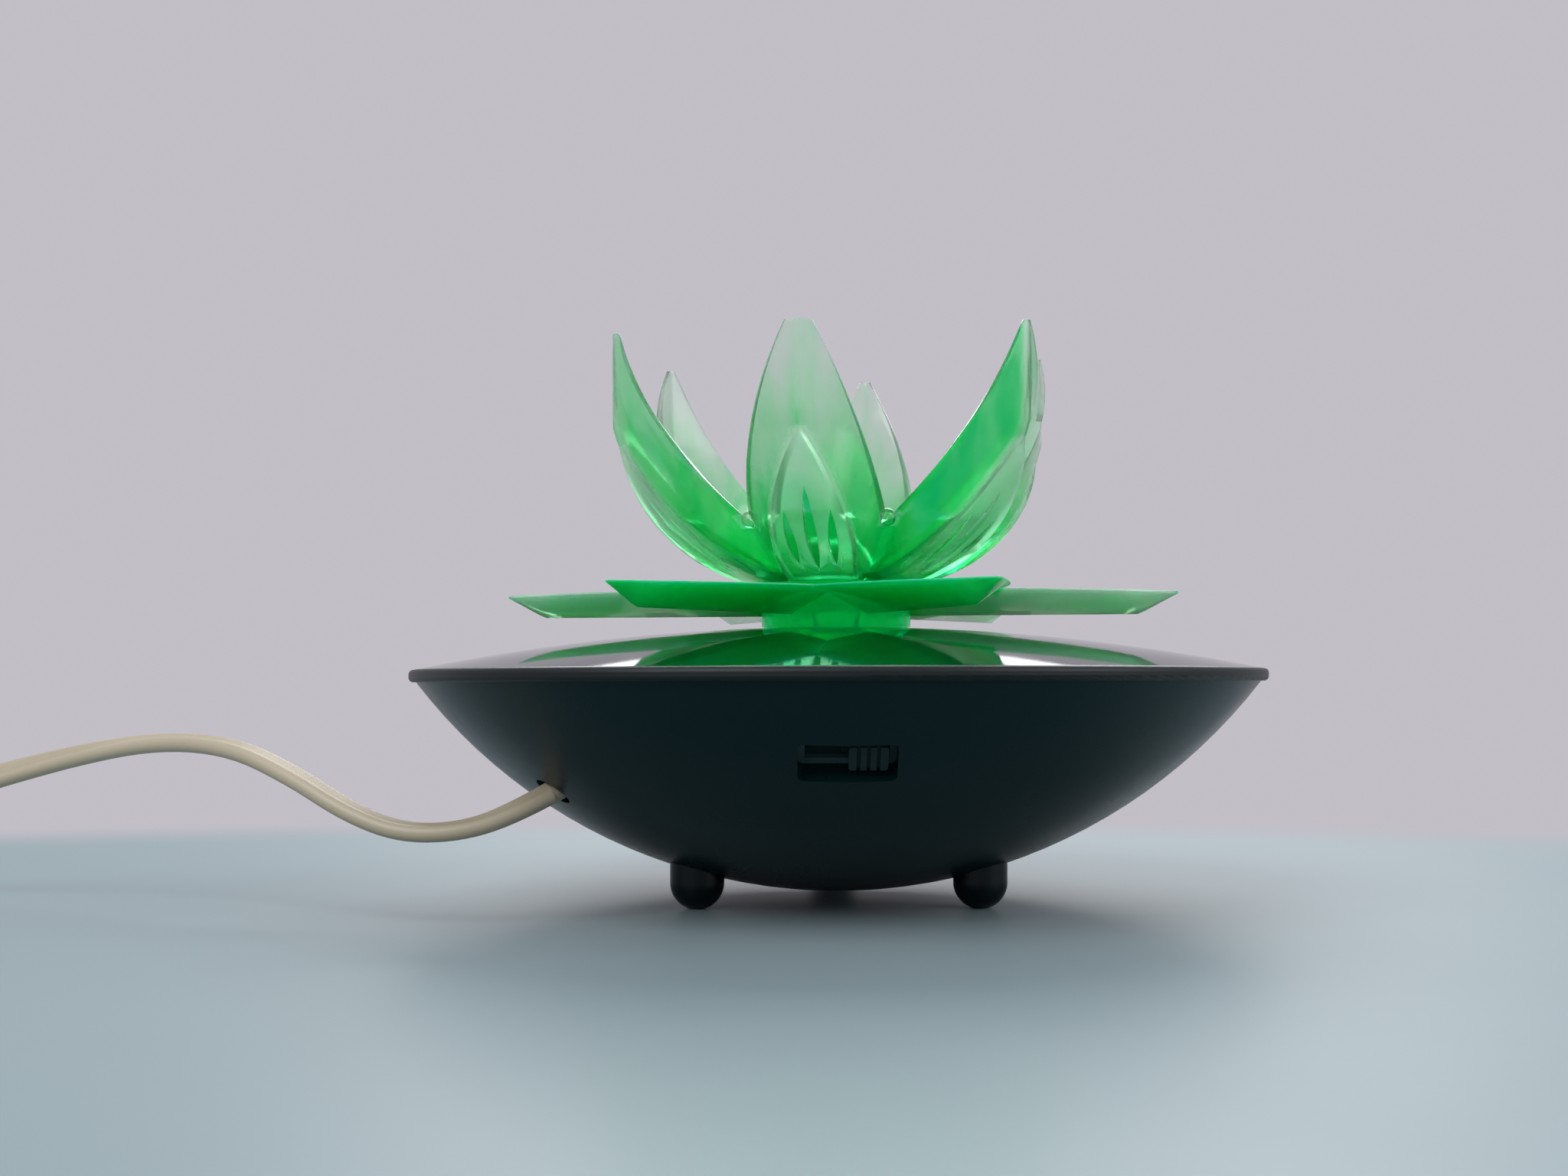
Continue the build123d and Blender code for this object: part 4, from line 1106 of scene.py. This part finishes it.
# Floor and light: a pale table that melts into a plain backdrop, under three soft lamps. The world
# gives an even light from all round. Lengths in this section are in metres.
floor_size = 3.0
pool_shift = (0.03, 0.12, 0)
pool_scale = (0.75, 1, 1)
pool_start = 0.265
pool_end = 0.35
backdrop_colour = (0.54, 0.517, 0.567, 1)
room_strength = 0.85
backdrop_strength = 1.0
lamp_size = 0.9
lamp_aim = Vector((0, 0, 0.05))
floor_mesh = bpy.data.meshes.new("floor")
floor_mesh.from_pydata([(x * floor_size, y * floor_size, 0) for x, y in square], [], [(0, 1, 2, 3)])
floor = bpy.data.objects.new("floor", floor_mesh)
scene.collection.objects.link(floor)
floor_material = moulded(
    "floor_pale",
    (0.21, 0.285, 0.305),
    (0.235, 0.31, 0.332),
    (0.4, 0.5),
    cloud=6,
    grain=300,
    depth=0.3,
    Specular_IOR_Level=0.3,
)
floor_mesh.materials.append(floor_material)
floor_tree = floor_material.node_tree
floor_place = floor_tree.nodes.new("ShaderNodeTexCoord")
floor_pool = floor_tree.nodes.new("ShaderNodeMapping")
floor_pool.inputs["Location"].default_value = pool_shift
floor_pool.inputs["Scale"].default_value = pool_scale
floor_reach = floor_tree.nodes.new("ShaderNodeVectorMath")
floor_reach.operation = "LENGTH"
floor_fade = floor_tree.nodes.new("ShaderNodeMapRange")
floor_fade.interpolation_type = "SMOOTHSTEP"
floor_fade.inputs["From Min"].default_value = pool_start
floor_fade.inputs["From Max"].default_value = pool_end
backdrop = floor_tree.nodes.new("ShaderNodeEmission")
backdrop.inputs["Color"].default_value = backdrop_colour
faded = floor_tree.nodes.new("ShaderNodeMixShader")
floor_join = floor_tree.links.new
floor_join(floor_place.outputs["Object"], floor_pool.inputs["Vector"])
floor_join(floor_pool.outputs["Vector"], floor_reach.inputs[0])
floor_join(floor_reach.outputs["Value"], floor_fade.inputs["Value"])
floor_join(floor_fade.outputs["Result"], faded.inputs["Fac"])
floor_join(floor_tree.nodes["Principled BSDF"].outputs["BSDF"], faded.inputs[1])
floor_join(backdrop.outputs["Emission"], faded.inputs[2])
floor_join(faded.outputs["Shader"], floor_tree.nodes["Material Output"].inputs["Surface"])
floor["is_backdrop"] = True

sky = bpy.data.worlds.new("studio")
sky.use_nodes = True
scene.world = sky
sky_tree = sky.node_tree
background = sky_tree.nodes["Background"]
background.inputs["Color"].default_value = backdrop_colour
ray = sky_tree.nodes.new("ShaderNodeLightPath")
seen_or_mirrored = sky_tree.nodes.new("ShaderNodeMath")
seen_or_mirrored.operation = "MAXIMUM"
shown = sky_tree.nodes.new("ShaderNodeMath")
shown.operation = "MAXIMUM"
strength = sky_tree.nodes.new("ShaderNodeMapRange")
strength.inputs["To Min"].default_value = room_strength
strength.inputs["To Max"].default_value = backdrop_strength
sky_join = sky_tree.links.new
sky_join(ray.outputs["Is Camera Ray"], seen_or_mirrored.inputs[0])
sky_join(ray.outputs["Is Glossy Ray"], seen_or_mirrored.inputs[1])
sky_join(seen_or_mirrored.outputs["Value"], shown.inputs[0])
sky_join(ray.outputs["Is Transmission Ray"], shown.inputs[1])
sky_join(shown.outputs["Value"], strength.inputs["Value"])
sky_join(strength.outputs["Result"], background.inputs["Strength"])

for name, place, power in (
    ("key", (-0.6, -0.8, 0.9), 11),
    ("fill", (0.9, -0.5, 0.6), 6),
    ("back", (0.1, 0.9, 0.8), 9),
):
    lamp_data = bpy.data.lights.new(name, "AREA")
    lamp_data.size = lamp_size
    lamp_data.energy = power
    lamp = bpy.data.objects.new(name, lamp_data)
    lamp.location = place
    lamp.rotation_euler = (lamp_aim - Vector(place)).to_track_quat("-Z", "Y").to_euler()
    scene.collection.objects.link(lamp)

scene.view_settings.view_transform = "Standard"
low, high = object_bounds()
